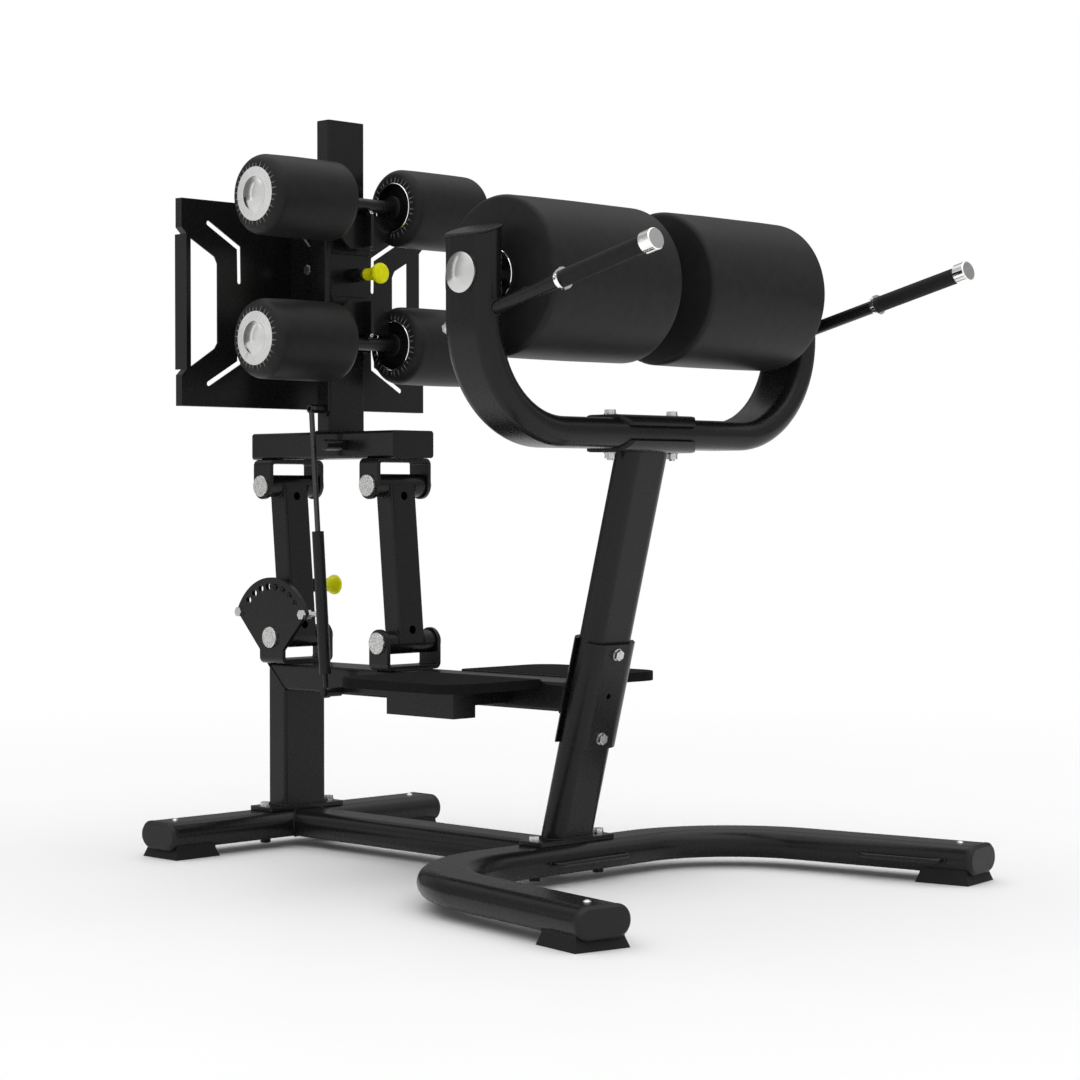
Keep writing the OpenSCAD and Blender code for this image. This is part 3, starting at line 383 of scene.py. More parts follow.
def plated_steel(name, colour, rough=0.24, blackened=None, reach=FITTING_REACH, black=None):
    """Plated steel; what lies within a reach of one given place may be blackened."""
    made = Shader(name, colour, metallic=1.0, roughness=rough)
    made.tint(made.grain(260, 3), 0.16)
    made.roughness(made.grain(700, 4), rough - 0.08, rough + 0.14)
    made.bump(made.grain(1600, 3), 0.03 * MM, 0.5)
    if blackened:
        away = made.add("ShaderNodeVectorMath", operation="LENGTH")
        made.link(made.moved(blackened), away.inputs[0])
        covered(made, made.ranged(away.outputs["Value"], reach, reach + COAT_EDGE, 1, 0), black)
    return made.material


def forged_head(colour):
    """Pin heads with a rough forged face."""
    made = Shader("forged_head", colour, metallic=1.0, roughness=0.28)
    made.tint(made.grain(420, 4), 0.45)
    made.roughness(made.grain(500, 4), 0.16, 0.5)
    made.bump(made.grain(330, 4), 0.5 * MM, 0.9)
    made.bump(made.cells(700), 0.2 * MM, 0.6)
    return made.material


def polished_chrome(colour):
    made = Shader("polished_chrome", colour, metallic=1.0, roughness=0.08)
    made.roughness(made.grain(200, 3), 0.05, 0.14)
    made.bump(made.grain(500, 2), 0.01 * MM, 0.2)
    return made.material


def sewing_thread(colour):
    made = Shader("sewing_thread", colour, roughness=0.7, specular=0.3)
    made.tint(made.grain(1500, 2), 0.25)
    made.bump(made.grain(4000, 2), 0.08 * MM, 0.7)
    return made.material


MATERIALS = {}


def make_materials(colours):
    lower = Vector((SHAFT_X, 0, LOWER_Z))
    upper = Vector((SHAFT_X, 0, UPPER_Z))
    strut_foot, strut_head = middle("strut_cylinder"), middle("strut_rod")
    strut_foot.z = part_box("strut_cylinder")[0].z
    strut_head.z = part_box("strut_rod")[1].z
    depth = 10
    far_below = Vector((0, 0, -depth))
    MATERIALS.update({
        "powder": powder_coat(colours.powder),
        "leather": leatherette(colours.leather),
        "rubber": moulded_rubber(colours.rubber),
        "plastic": moulded_plastic(colours.plastic),
        "yellow": yellow_plastic(colours.yellow),
        "upper_disc": turned_metal("turned_upper_disc", colours.bright, upper, inner_black=colours.plastic),
        "lower_disc": turned_metal("turned_lower_disc", colours.bright, lower, inner_black=colours.plastic),
        "axle_disc": turned_metal("turned_axle_cap", colours.bright, AXLE),
        "step": step_coat(colours.powder),
        "zinc": plated_steel("zinc_plated", colours.zinc),
        "frame_zinc": plated_steel("frame_zinc", colours.zinc, blackened=strut_foot,
                                   black=colours.powder),
        "sleeve_zinc": plated_steel("sleeve_zinc", colours.zinc, blackened=strut_head,
                                    black=colours.powder),
        "nut_zinc": plated_steel("nut_zinc", colours.zinc, blackened=far_below,
                                 reach=depth + NUTS_BLACK_TO, black=colours.powder),
        "forged": forged_head(colours.zinc),
        "chrome": polished_chrome([1.6 * c for c in colours.bright]),
        "burnished": plated_steel("burnished_steel", [0.12 * c for c in colours.zinc], 0.34),
        "bronze": plated_steel("bronze_bush", colours.bronze, 0.34),
        "thread": sewing_thread([1.4 * c for c in colours.leather]),
    })


# Mesh helpers


def finished(name, mesh, material, body):
    """Makes a piece of a mesh, gives it its material and lets it ride on a body."""
    piece = bpy.data.objects.new(name, mesh)
    bpy.context.scene.collection.objects.link(piece)
    if material and not mesh.materials:
        mesh.materials.append(MATERIALS[material])
    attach(piece, body)
    return piece


def smooth_by_angle(mesh, degrees):
    mesh.shade_smooth()
    mesh.set_sharp_from_angle(angle=math.radians(degrees))


# Place of a roller's closing seam around its axle, low at the back
SEAM_TURN = math.radians(252)

# CAD nodes by finish, and by the share of the edge rounding that they take

FINISHES = {
    "powder": {
        1.0: ["rear_foot_tube", "centre_tube", "front_foot_tube", "rear_upright", "fixed_beam",
              "front_post", "yoke", "carriage_beam", "mast", "sleeve", "step_braces",
              "base_plates", "foot_plate", "sleeve_brackets", "sector_clevis",
              "front_lower_clevis", "upper_clevises", "rear_link", "front_link"],
        1.3: ["post_clamp_shells", "saddle_shells"],
        0.5: ["band_loops", "handle_bars", "stop_peg", "roller_shafts", "strut_cylinder",
              "yoke_caps"],
    },
    "step": {1.0: ["step_plates"]},
    "chrome": {0.5: ["handle_trim"]},
    "burnished": {0.5: ["link_pin", "sleeve_pin", "strut_rod"]},
    "zinc": {0.5: ["stop_bolts"]},
    "nut_zinc": {0.5: ["frame_nuts"]},
    "frame_zinc": {0.5: ["frame_bolts"]},
    "sleeve_zinc": {0.5: ["sleeve_bolts"]},
    "forged": {0.5: ["lower_pivot_pins", "upper_pivot_pins"]},
    "plastic": {1.0: ["foot_tube_caps", "mast_cap", "sleeve_glides", "left_thigh_core",
                      "right_thigh_core"]},
    "rubber": {1.2: ["rubber_feet", "handle_grips"]},
    "yellow": {1.2: ["link_knob", "sleeve_knob"]},
    "bronze": {0.4: ["rear_link_bushes", "front_link_bushes"]},
    "axle_disc": {0.6: ["thigh_axle"]},
    "upper_disc": {0.8: ["upper_left_hub", "upper_right_hub"]},
    "lower_disc": {0.8: ["lower_left_hub", "lower_right_hub"]},
}


def merging_tree():
    """Geometry nodes that join a node's loose triangles, drop its custom normals and shade it smooth."""
    tree = bpy.data.node_groups.new("join_triangles", "GeometryNodeTree")
    tree.interface.new_socket("Geometry", in_out="INPUT", socket_type="NodeSocketGeometry")
    tree.interface.new_socket("Distance", in_out="INPUT", socket_type="NodeSocketFloat")
    tree.interface.new_socket("Geometry", in_out="OUTPUT", socket_type="NodeSocketGeometry")
    start = tree.nodes.new("NodeGroupInput")
    end = tree.nodes.new("NodeGroupOutput")
    drop = tree.nodes.new("GeometryNodeRemoveAttribute")
    drop.inputs["Name"].default_value = "custom_normal"
    merge = tree.nodes.new("GeometryNodeMergeByDistance")
    smooth = tree.nodes.new("GeometryNodeSetShadeSmooth")
    links = tree.links
    links.new(start.outputs["Geometry"], drop.inputs["Geometry"])
    links.new(drop.outputs["Geometry"], merge.inputs["Geometry"])
    links.new(start.outputs["Distance"], merge.inputs["Distance"])
    links.new(merge.outputs["Geometry"], smooth.inputs["Geometry"])
    links.new(smooth.outputs["Geometry"], end.inputs["Geometry"])
    return tree


def set_input(modifier, name, value):
    """Sets a geometry nodes input by the identifier of its socket."""
    for item in modifier.node_group.interface.items_tree:
        if item.in_out == "INPUT" and item.name == name:
            modifier[item.identifier] = value
            return
    raise ValueError(f"no input named {name}")


# Distance within which the corners of a node's triangles are joined
JOIN_WITHIN = 0.003 * MM
# Steepest angle between faces that count as flat, and least angle of an edge that is rounded
FLAT_ANGLE = math.radians(0.4)
EDGE_ANGLE = math.radians(35)
# Pull of large faces on the shading
FACE_WEIGHT = 60


def round_edges(piece, width, joiner):
    """Joins the triangles, merges flat faces, rounds the sharp edges and evens the shading."""
    join = piece.modifiers.new("join", "NODES")
    join.node_group = joiner
    set_input(join, "Distance", JOIN_WITHIN)
    flat = piece.modifiers.new("flat", "DECIMATE")
    flat.decimate_type = "DISSOLVE"
    flat.angle_limit = FLAT_ANGLE
    edge = piece.modifiers.new("edge", "BEVEL")
    edge.width = width
    edge.segments = 2
    edge.limit_method = "ANGLE"
    edge.angle_limit = EDGE_ANGLE
    edge.miter_outer = "MITER_ARC"
    edge.use_clamp_overlap = True
    shade = piece.modifiers.new("shade", "WEIGHTED_NORMAL")
    shade.weight = FACE_WEIGHT
    shade.keep_sharp = True


class GHD_OT_frame_finish(bpy.types.Operator):
    """Gives every steel, rubber and plastic node its finish and rounded edges"""

    bl_idname = "ghd.frame_finish"
    bl_label = "Frame finish"

    def execute(self, context):
        make_materials(context.scene.ghd_colours)
        width = context.scene.ghd_details.edge
        joiner = merging_tree()
        dressed = set()
        for finish, groups in FINISHES.items():
            for share, names in groups.items():
                for name in names:
                    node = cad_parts[name]
                    node.data.materials.clear()
                    node.data.materials.append(MATERIALS[finish])
                    round_edges(node, share * width, joiner)
                    dressed.add(name)
        soft = {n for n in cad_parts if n.endswith("_roller") or n.endswith("thigh_pad")}
        missing = set(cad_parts) - dressed - soft
        if missing:
            raise RuntimeError(f"nodes without a finish: {sorted(missing)}")
        return {"FINISHED"}


# Upholstery

# Radius of the bore of a cover, and its clearance around an end disc
COVER_BORE = 25.3 * MM
DISC_GAP = 0.3 * MM
# Depths to which an ankle cover and a thigh cover are tucked in at their ends
ANKLE_TUCKS = (17.3 * MM, 3.3 * MM)
THIGH_TUCKS = (0.4 * MM, 0.4 * MM)
TUCK_WIDTH = 4 * MM
TUCK_SHARE = 0.6
# Inner radius of the flat end of a thigh cover
THIGH_DISC = 37 * MM
# Steps around the covers and small rings, and along the body of a cover
ANKLE_SEGMENTS = 660
THIGH_SEGMENTS = 480
RING_SEGMENTS = 96
BODY_STEPS = 16
# Distance from the disc that stands for a place without gathers
NO_GATHERS = 1.0
# Half widths of a gather's crest and of the seam, and height of the cover's unevenness
CREST_WIDTH = 1.1 * MM
SEAM_WIDTH = 1.6 * MM
UNEVENNESS = 0.3 * MM


def shoulder(disc, radius, length):
    """Soft shoulder from the disc's edge to the full radius, as (radius, distance from the end)."""
    steps, fullness = 12, 1.12
    points = []
    for step in range(steps + 1):
        turn = math.radians(90 * step / steps)
        wide = disc + (radius - disc) * math.sin(turn) ** fullness
        points.append((wide, length * (1 - math.cos(turn)) ** fullness))
    return points


def square_edge(disc, radius, edge):
    """Flat end with a small round edge, as (radius, distance from the end)."""
    flat_steps, round_steps = 6, 8
    flat = radius - edge
    points = [(disc + (flat - disc) * step / flat_steps, 0.0) for step in range(flat_steps)]
    for step in range(round_steps + 1):
        turn = math.radians(90 * step / round_steps)
        points.append((flat + edge * math.sin(turn), edge * (1 - math.cos(turn))))
    return points


def roller_outline(low, high, tucks, crown, first, last, smooth=0.0):
    """Closed outline of a cover as (radius, distance along the axle, distance from the disc)."""
    disc = first[0][0]

    def tuck(end, depth):
        return [(COVER_BORE, end + depth, NO_GATHERS), (disc - TUCK_WIDTH, end + depth, NO_GATHERS),
                (disc, end + depth * TUCK_SHARE, NO_GATHERS)]

    points = tuck(low, tucks[0])
    points += [(r, low + d, r - disc + smooth) for r, d in first]
    start, end = low + first[-1][1], high - last[-1][1]
    for step in range(1, BODY_STEPS):
        share = step / BODY_STEPS
        wide = first[-1][0] + crown * (1 - (2 * share - 1) ** 2)
        points.append((wide, start + (end - start) * share, NO_GATHERS))
    points += [(r, high - d, r - disc + smooth) for r, d in reversed(last)]
    return points + tuck(high, -tucks[1])[::-1]


def turned(name, centre, side, rings, segments, place_vertex=None):
    """Closed rings of (radius, distance) about an axis along Y, joined into one mesh."""
    mesh = bpy.data.meshes.new(name)
    builder = bmesh.new()
    made = []
    for number, (r, y, *_) in enumerate(rings):
        ring = []
        for step in range(segments):
            turn = 2 * math.pi * step / segments
            wide, along = place_vertex(number, r, y, turn) if place_vertex else (r, y)
            ring.append(builder.verts.new((
                centre.x + wide * math.cos(turn), side * along, centre.z + wide * math.sin(turn))))
        made.append(ring)
    for a, b in zip(made, made[1:] + made[:1]):
        for step in range(segments):
            after = (step + 1) % segments
            builder.faces.new((a[step], a[after], b[after], b[step]))
    bmesh.ops.recalc_face_normals(builder, faces=builder.faces)
    builder.to_mesh(mesh)
    builder.free()
    return mesh


def upholstered_roller(name, centre, side, outline, sizes, seed, segments):
    """A closed roller cover about the Y axis: short gathers at its ends, a soft crown and one seam."""
    source = random.Random(seed)
    pleats = [(source.uniform(0.7, 1.25), source.uniform(-0.16, 0.16), source.uniform(0.75, 1.3))
              for _ in range(2 * sizes.pleats)]
    radius = max(r for r, _, _ in outline)
    half = len(outline) // 2
    folds = []

    def shaped(number, r, y, turn):
        off_disc = outline[number][2]
        first = number < half
        count = turn / (2 * math.pi) * sizes.pleats
        height, shift, reach = pleats[int(count) % sizes.pleats + (0 if first else sizes.pleats)]
        across = (count % 1 - 0.5 - shift) * 2 * math.pi / sizes.pleats * r
        crest = math.exp(-(across / CREST_WIDTH) ** 2)
        length = sizes.pleat_length * reach
        fade = hollow = 0.0
        if off_disc < NO_GATHERS:
            fade = max(0.0, 1 - off_disc / length) ** 0.7
            hollow = 0.5 * math.exp(-(off_disc / (0.7 * length)) ** 2)
        raised = sizes.pleat_height * height * fade * (crest - hollow)
        # Weight of the painted highlight on the crest of a gather, strongest near the disc
        folds.append(min(1.0, 1.1 * crest ** 2 * fade))
        wide = r
        if r > radius * 0.8:
            off = math.atan2(math.sin(turn - SEAM_TURN), math.cos(turn - SEAM_TURN)) * r
            wide -= sizes.seam_depth * math.exp(-(off / SEAM_WIDTH) ** 2)
            spot = Vector((math.cos(turn) * 2, math.sin(turn) * 2, y * 14 + seed))
            wide += UNEVENNESS * noise.noise(spot)
        return wide, y + (-raised if first else raised)

    mesh = turned(name, centre, side, outline, segments, shaped)
    # The painted crest highlight's weight is stored as the fold attribute that the leatherette reads
    painted_crest_highlight = mesh.attributes.new("fold", "FLOAT", "POINT")
    painted_crest_highlight.data.foreach_set("value", folds)
    smooth_by_angle(mesh, 60)
    return mesh


def turned_piece(name, centre, side, outline, material, body):
    """A small turned ring whose outline is given in millimetres."""
    mesh = turned(name, centre, side, [(r * MM, y * MM) for r, y in outline], RING_SEGMENTS)
    smooth_by_angle(mesh, 35)
    return finished(name, mesh, material, body)


def repeated_tree(name, kind):
    """Geometry nodes that set one small form again and again along the edges of a mesh."""
    tree = bpy.data.node_groups.new(name, "GeometryNodeTree")
    face = tree.interface
    face.new_socket("Geometry", in_out="INPUT", socket_type="NodeSocketGeometry")
    for label in ("Pitch", "Width", "Length", "Unevenness"):
        face.new_socket(label, in_out="INPUT", socket_type="NodeSocketFloat")
    face.new_socket("Seed", in_out="INPUT", socket_type="NodeSocketInt")
    face.new_socket("Material", in_out="INPUT", socket_type="NodeSocketMaterial")
    face.new_socket("Geometry", in_out="OUTPUT", socket_type="NodeSocketGeometry")
    new, link = tree.nodes.new, tree.links.new
    start, end = new("NodeGroupInput"), new("NodeGroupOutput")
    curve = new("GeometryNodeMeshToCurve")
    split = new("GeometryNodeResampleCurve")
    split.mode = "LENGTH"
    place = new("GeometryNodeInstanceOnPoints")
    aim = new("FunctionNodeAlignRotationToVector")
    aim.axis = "X"
    along = new("GeometryNodeInputTangent")
    size = new("ShaderNodeCombineXYZ")
    uneven = new("FunctionNodeRandomValue")
    uneven.data_type = "FLOAT"
    low = new("ShaderNodeMath")
    low.operation = "SUBTRACT"
    low.inputs[0].default_value = 1
    high = new("ShaderNodeMath")
    high.operation = "ADD"
    high.inputs[0].default_value = 1
    scaled = new("ShaderNodeVectorMath")
    scaled.operation = "SCALE"
    if kind == "ripple":
        form = new("GeometryNodeMeshIcoSphere")
        form.inputs["Radius"].default_value = 0.5
        form.inputs["Subdivisions"].default_value = 2
    else:
        form = new("GeometryNodeMeshUVSphere")
        form.inputs["Radius"].default_value = 0.5
        form.inputs["Segments"].default_value = 8
        form.inputs["Rings"].default_value = 6
    real = new("GeometryNodeRealizeInstances")
    smooth = new("GeometryNodeSetShadeSmooth")
    paint = new("GeometryNodeSetMaterial")
    for source, out, target, into in (
            (start, "Geometry", curve, "Mesh"),
            (curve, "Curve", split, "Curve"),
            (start, "Pitch", split, "Length"),
            (split, "Curve", place, "Points"),
            (form, "Mesh", place, "Instance"),
            (along, "Tangent", aim, "Vector"),
            (aim, "Rotation", place, "Rotation"),
            (start, "Length", size, "X"),
            (start, "Width", size, "Y"),
            (start, "Width", size, "Z"),
            (start, "Unevenness", low, 1),
            (start, "Unevenness", high, 1),
            (low, "Value", uneven, 2),
            (high, "Value", uneven, 3),
            (start, "Seed", uneven, "Seed"),
            (size, "Vector", scaled, 0),
            (uneven, 1, scaled, "Scale"),
            (scaled, "Vector", place, "Scale"),
            (place, "Instances", real, "Geometry"),
            (real, "Geometry", smooth, "Geometry"),
            (smooth, "Geometry", paint, "Geometry"),
            (start, "Material", paint, "Material"),
            (paint, "Geometry", end, "Geometry")):
        link(source.outputs[out], target.inputs[into])
    return tree


def repeat_along(name, paths, tree, material, body, slot, **values):
    """Runs a repeating tree along several paths and keeps the result as one plain mesh."""
    lines = bpy.data.meshes.new(name + "_paths")
    points, edges = [], []
    for path, closed in paths:
        first = len(points)
        points += [tuple(p) for p in path]
        edges += [(first + k, first + k + 1) for k in range(len(path) - 1)]
        if closed:
            edges.append((len(points) - 1, first))
    lines.from_pydata(points, edges, [])
    carrier = bpy.data.objects.new(name + "_carrier", lines)
    bpy.context.scene.collection.objects.link(carrier)
    modifier = carrier.modifiers.new("repeat", "NODES")
    modifier.node_group = tree
    for key, value in values.items():
        set_input(modifier, key, value)
    set_input(modifier, "Material", MATERIALS[material])
    view = bpy.context.evaluated_depsgraph_get()
    mesh = bpy.data.meshes.new_from_object(carrier.evaluated_get(view))
    mesh.name = name
    bpy.data.objects.remove(carrier)
    if not mesh.polygons:
        raise RuntimeError(f"{name} came out empty")
    return finished(name, mesh, None, body)


class GHD_OT_ankle_rollers(bpy.types.Operator):
    """Covers the four ankle rollers in pleated leatherette"""

    bl_idname = "ghd.ankle_rollers"
    bl_label = "Ankle rollers"

    def execute(self, context):
        sizes = context.scene.ghd_rollers
        radius = (ROLLER_HIGH.z - ROLLER_LOW.z) / 2 - sizes.crown
        disc = sizes.disc + DISC_GAP
        outline = roller_outline(
            ROLLER_LOW.y, ROLLER_HIGH.y, ANKLE_TUCKS, sizes.crown,
            shoulder(disc, radius, sizes.inner_shoulder), shoulder(disc, radius, sizes.outer_shoulder))
        boss = [(12.4, 65.6), (20.6, 65.6), (21.4, 66.4), (21.4, 80.9), (12.4, 80.9)]
        rim = [(43.8, 66.9), (44.4, 66.2), (45.9, 66.2), (46.6, 66.9), (46.6, 68.1), (43.8, 68.1)]
        for level, height in (("upper", UPPER_Z), ("lower", LOWER_Z)):
            for hand, side in (("left", 1), ("right", -1)):
                body = f"{level}_{hand}_roller"
                centre = Vector((SHAFT_X, 0, height))
                name = body + "_cover"
                mesh = upholstered_roller(
                    name, centre, side, outline, sizes, len(name) + side, ANKLE_SEGMENTS)
                cover = finished(name, mesh, "leather", body)
                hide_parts(body)
                turned_piece(body + "_boss", centre, side, boss, "plastic", body)
                turned_piece(body + "_rim", centre, side, rim, "chrome", body)
        return {"FINISHED"}


class GHD_OT_thigh_pads(bpy.types.Operator):
    """Covers the two thigh pads in leatherette and rims their end cups"""

    bl_idname = "ghd.thigh_pads"
    bl_label = "Thigh pads"

    def execute(self, context):
        sizes = context.scene.ghd_rollers
        radius = (THIGH_HIGH.z - THIGH_LOW.z) / 2 - sizes.crown
        edge = square_edge(THIGH_DISC, radius, sizes.thigh_edge)
        outline = roller_outline(
            THIGH_LOW.y, THIGH_HIGH.y, THIGH_TUCKS, sizes.crown, edge, edge, NO_GATHERS)
        rim = [(38.2, 343.4), (41.6, 343.4), (42.6, 344.3), (42.6, 345.3), (41.8, 346.1),
               (38.9, 346.1), (38.0, 345.3)]
        for hand, side in (("left", 1), ("right", -1)):
            name = f"{hand}_thigh_pad_cover"
            body = f"{hand}_thigh_roller"
            mesh = upholstered_roller(name, AXLE, side, outline, sizes, 7 + side, THIGH_SEGMENTS)
            cover = finished(name, mesh, "leather", body)
            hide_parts(f"{hand}_thigh_pad")
            turned_piece(f"{hand}_thigh_rim", AXLE, side, rim, "chrome", body)
        return {"FINISHED"}


# Rows of stitches: distance from the seam, depth in the cover, steps, and margins at the ends
ROW_OFF = 3.2 * MM
ROW_SINK = 0.9 * MM
ROW_STEPS = 8
ANKLE_MARGIN = 25 * MM
THIGH_MARGIN = 12 * MM


class GHD_OT_stitches(bpy.types.Operator):
    """Sews the lengthwise seam of every roller with two rows of stitches"""

    bl_idname = "ghd.stitches"
    bl_label = "Seam stitches"

    def execute(self, context):
        sizes = context.scene.ghd_details
        tree = repeated_tree("stitch_row", "stitch")
        jobs = []
        for level, height in (("upper", UPPER_Z), ("lower", LOWER_Z)):
            for hand, side in (("left", 1), ("right", -1)):
                jobs.append((f"{level}_{hand}_roller", SHAFT_X, height, side, ROLLER_LOW.y, ROLLER_HIGH.y,
                             (ROLLER_HIGH.z - ROLLER_LOW.z) / 2, ANKLE_MARGIN))
        for hand, side in (("left", 1), ("right", -1)):
            jobs.append((f"{hand}_thigh_roller", AXLE.x, AXLE.z, side, THIGH_LOW.y, THIGH_HIGH.y,
                         (THIGH_HIGH.z - THIGH_LOW.z) / 2, THIGH_MARGIN))
        for seed, (body, x, z, side, low, high, radius, margin) in enumerate(jobs):
            reach, span = radius - ROW_SINK, high - low - 2 * margin
            paths = []
            for off in (-ROW_OFF, ROW_OFF):
                turn = SEAM_TURN + off / radius
                row = [Vector((x + reach * math.cos(turn), side * (low + margin + span * k / ROW_STEPS),
                               z + reach * math.sin(turn))) for k in range(ROW_STEPS + 1)]
                paths.append((row, False))
            repeat_along(f"{body}_stitches", paths, tree, "thread", body, "upholstery",
                         Pitch=sizes.stitch_pitch, Width=sizes.stitch_width, Length=0.72 * sizes.stitch_pitch,
                         Unevenness=0.08, Seed=seed)
        return {"FINISHED"}


class GHD_OT_grub_screws(bpy.types.Operator):
    """Sets the socket screws that clamp the roller shafts into the front edges of their brackets"""

    bl_idname = "ghd.grub_screws"
    bl_label = "Grub screws"

    def execute(self, context):
        profile = [(0.2, -3), (3.6, -3), (3.6, 0.7), (3.1, 1.2), (2.1, 1.2), (2.1, -1), (0.2, -1.4)]
        socket_rings, segments = (4, 5), 48
        sixth = math.radians(60)
        forward, upward = 87.25 * MM, 113 * MM

        def socketed(number, r, y, turn):
            if number in socket_rings:
                off = math.fmod(turn, sixth) - sixth / 2
                r *= math.cos(sixth / 2) / math.cos(off)
            return r, y

        middle_z = (UPPER_Z + LOWER_Z) / 2
        for level, way in (("upper", 1), ("lower", -1)):
            rings = [(r * MM, y * MM) for r, y in profile]
            mesh = turned(f"{level}_grub_screw", Vector((0, 0, 0)), 1, rings, segments, socketed)
            facing = Vector((0.84, 0, 0.545 * way))
            spot = Vector((MAST_X + forward, 0, middle_z + upward * way))
            turn = Vector((0, 1, 0)).rotation_difference(facing).to_matrix().to_4x4()
            mesh.transform(Matrix.Translation(spot) @ turn)
            smooth_by_angle(mesh, 30)
            finished(f"{level}_grub_screw", mesh, "zinc", "slider")
        return {"FINISHED"}


# Welds on the steel, as paths in millimetres from the mast's middle line


def loop(steps, point):
    """Closed path through the points that a function gives for each share of a turn."""
    return [point(2 * math.pi * k / steps) for k in range(steps)], True


def box_side(turn, half_x, half_y):
    """Point on a rectangle, seen from its middle."""
    x, y = half_x * math.cos(turn), half_y * math.sin(turn)
    far = max(abs(x) / half_x, abs(y) / half_y)
    return x / far, y / far


def oval_side(turn, half_long, radius):
    """Point on a flat oval, longer along its first axis."""
    c, s = math.cos(turn), math.sin(turn)
    return math.copysign(half_long - radius, c) + radius * c, radius * s


def line(start, end):
    """Open path with a point half way."""
    return [start, start.lerp(end, 0.5), end], False


def weld_paths():
    """Paths of the welds for each body, with the sizes of the part's source."""
    lean, tilt, splay = math.radians(14.9), math.radians(14), math.radians(10.2)
    # Half width and half height of the main tubes, and half width of the post and the yoke
    wide, thick, yoke_wide = 50, 25, 52
    # Middle height of the base tubes, height on their plates, and distance of the arms
    tube_z, plate_z, arm_y = 41.5, 75, 387
    # Weld's radius on a handle, radius of the band rods' welds, and radius of the front bends
    handle_r, rod_r, bend_r = 11.5, 4.6, 230
    # Welds on the sides of a beam, and of the barrels of a link
    ear_off, barrel_r, barrel_y, barrel_steps = 25, 21.3, 30.2, 16

    def post_x(z):
        return 589 + (z - 74.5) * math.tan(lean)

    def behind_shell(turn):
        shell_r, shell_flat, beam_z = 33, 27.0, 319
        y, z = box_side(turn, wide, thick)
        z += beam_z
        flat = min(abs(y), shell_flat)
        depth = math.sqrt(shell_r ** 2 - (abs(y) - flat) ** 2)
        return place(post_x(z) - depth / math.cos(lean) - 0.5, y, z)

    def post_base(turn):
        y, x = oval_side(turn, yoke_wide, thick)
        return place(post_x(plate_z) + 1.035 * x, y, plate_z)

    def handle_root(side):
        def point(turn):
            off, up = handle_r * math.cos(turn), handle_r * math.sin(turn)
            x = 791 + math.sqrt(thick ** 2 - off ** 2)
            z = 950 + (x - 807) * math.tan(tilt) + up / math.cos(tilt)
            return place(x, side * arm_y + off, z)
        return point

    def arm_top(side):
        def point(turn):
            x, y = oval_side(turn, yoke_wide, thick)
            return place(764 + x, side * (arm_y - y), 1074.5 + 0.34 * y)
        return point

    def coped(centre, direction):
        def point(turn):
            y, z = oval_side(turn, wide, thick)
            return place(centre + direction * math.sqrt(max(0.0, thick ** 2 - z * z)), y, tube_z + z)
        return point

    def on_leg(run, inward, side):
        x = 590 + bend_r * (1 - math.sin(splay)) + run * math.cos(splay) + inward * math.sin(splay)
        y = 181 + bend_r * math.cos(splay) + run * math.sin(splay) - inward * math.cos(splay)
        return place(x, side * y, tube_z)

    def rod_end(centre, across):
        def point(turn):
            return centre + rod_r * MM * (math.cos(turn) * across + math.sin(turn) * Vector((0, 0, 1)))
        return point

    def rectangle(x, y, half_x, half_y, z):
        def point(turn):
            u, v = box_side(turn, half_x, half_y)
            return place(x + u, y + v, z)
        return point

    def beside_ears(x, z):
        return [line(place(x + off, -44, z), place(x + off, 44, z)) for off in (-ear_off, ear_off)]

    base = [
        loop(96, rectangle(-129, 0, thick, wide, plate_z)),
        loop(96, post_base),
        loop(96, behind_shell),
        loop(96, coped(565, -1)), loop(96, coped(-104, 1)),
    ]
    for x in (-126, 178):
        base += beside_ears(x, 344.5)
    for side in (1, -1):
        base.append(loop(40, handle_root(side)))
        base.append(loop(90, arm_top(side)))
        base.append(line(place(278, side * 50, 344.6), place(576, side * 50, 344.6)))
        base.append(line(place(-153, side * 50.2, 343), place(-104, side * 50.2, 294)))
        base.append(loop(14, rod_end(place(640, side * 85, tube_z), Vector((0, 1, 0)))))
        for run in (150, 296):
            across = on_leg(run + 1, wide, side) - on_leg(run, wide, side)
            base.append(loop(14, rod_end(on_leg(run, wide, side), across.normalized())))
    carriage = [loop(96, rectangle(0, 0, 18, 44, 780.5))]
    for x in (-152, 152):
        carriage += beside_ears(x, 729.5)
    slider = []
    for low in (937, 1112):
        slider.append(([place(28.5, y, z) for y, z in (
            (-45, low), (45, low), (45, low + 93), (-45, low + 93))], True))
    links = {}
    for body, low_x in (("rear_link", -126), ("front_link", 178)):
        links[body] = []
        for x, z, start in ((low_x, 394, 0), (low_x - 26, 680, math.pi)):
            for y in (-barrel_y, barrel_y):
                turns = [start + math.pi * k / barrel_steps for k in range(barrel_steps + 1)]
                arc = [place(x + barrel_r * math.cos(turn), y, z + barrel_r * math.sin(turn))
                       for turn in turns]
                links[body].append((arc, False))
    return {"base": base, "carriage": carriage, "slider": slider, **links}


class GHD_OT_welds(bpy.types.Operator):
    """Lays rippled weld beads where tubes and plates meet"""

    bl_idname = "ghd.welds"
    bl_label = "Weld beads"

    def execute(self, context):
        sizes = context.scene.ghd_details
        tree = repeated_tree("weld_bead", "ripple")
        for seed, (body, paths) in enumerate(weld_paths().items()):
            repeat_along(f"{body}_welds", paths, tree, "powder", body, "powder_coat",
                         Pitch=sizes.weld_pitch, Width=sizes.weld_width, Length=1.7 * sizes.weld_pitch,
                         Unevenness=0.1, Seed=seed)
        return {"FINISHED"}


# Stage


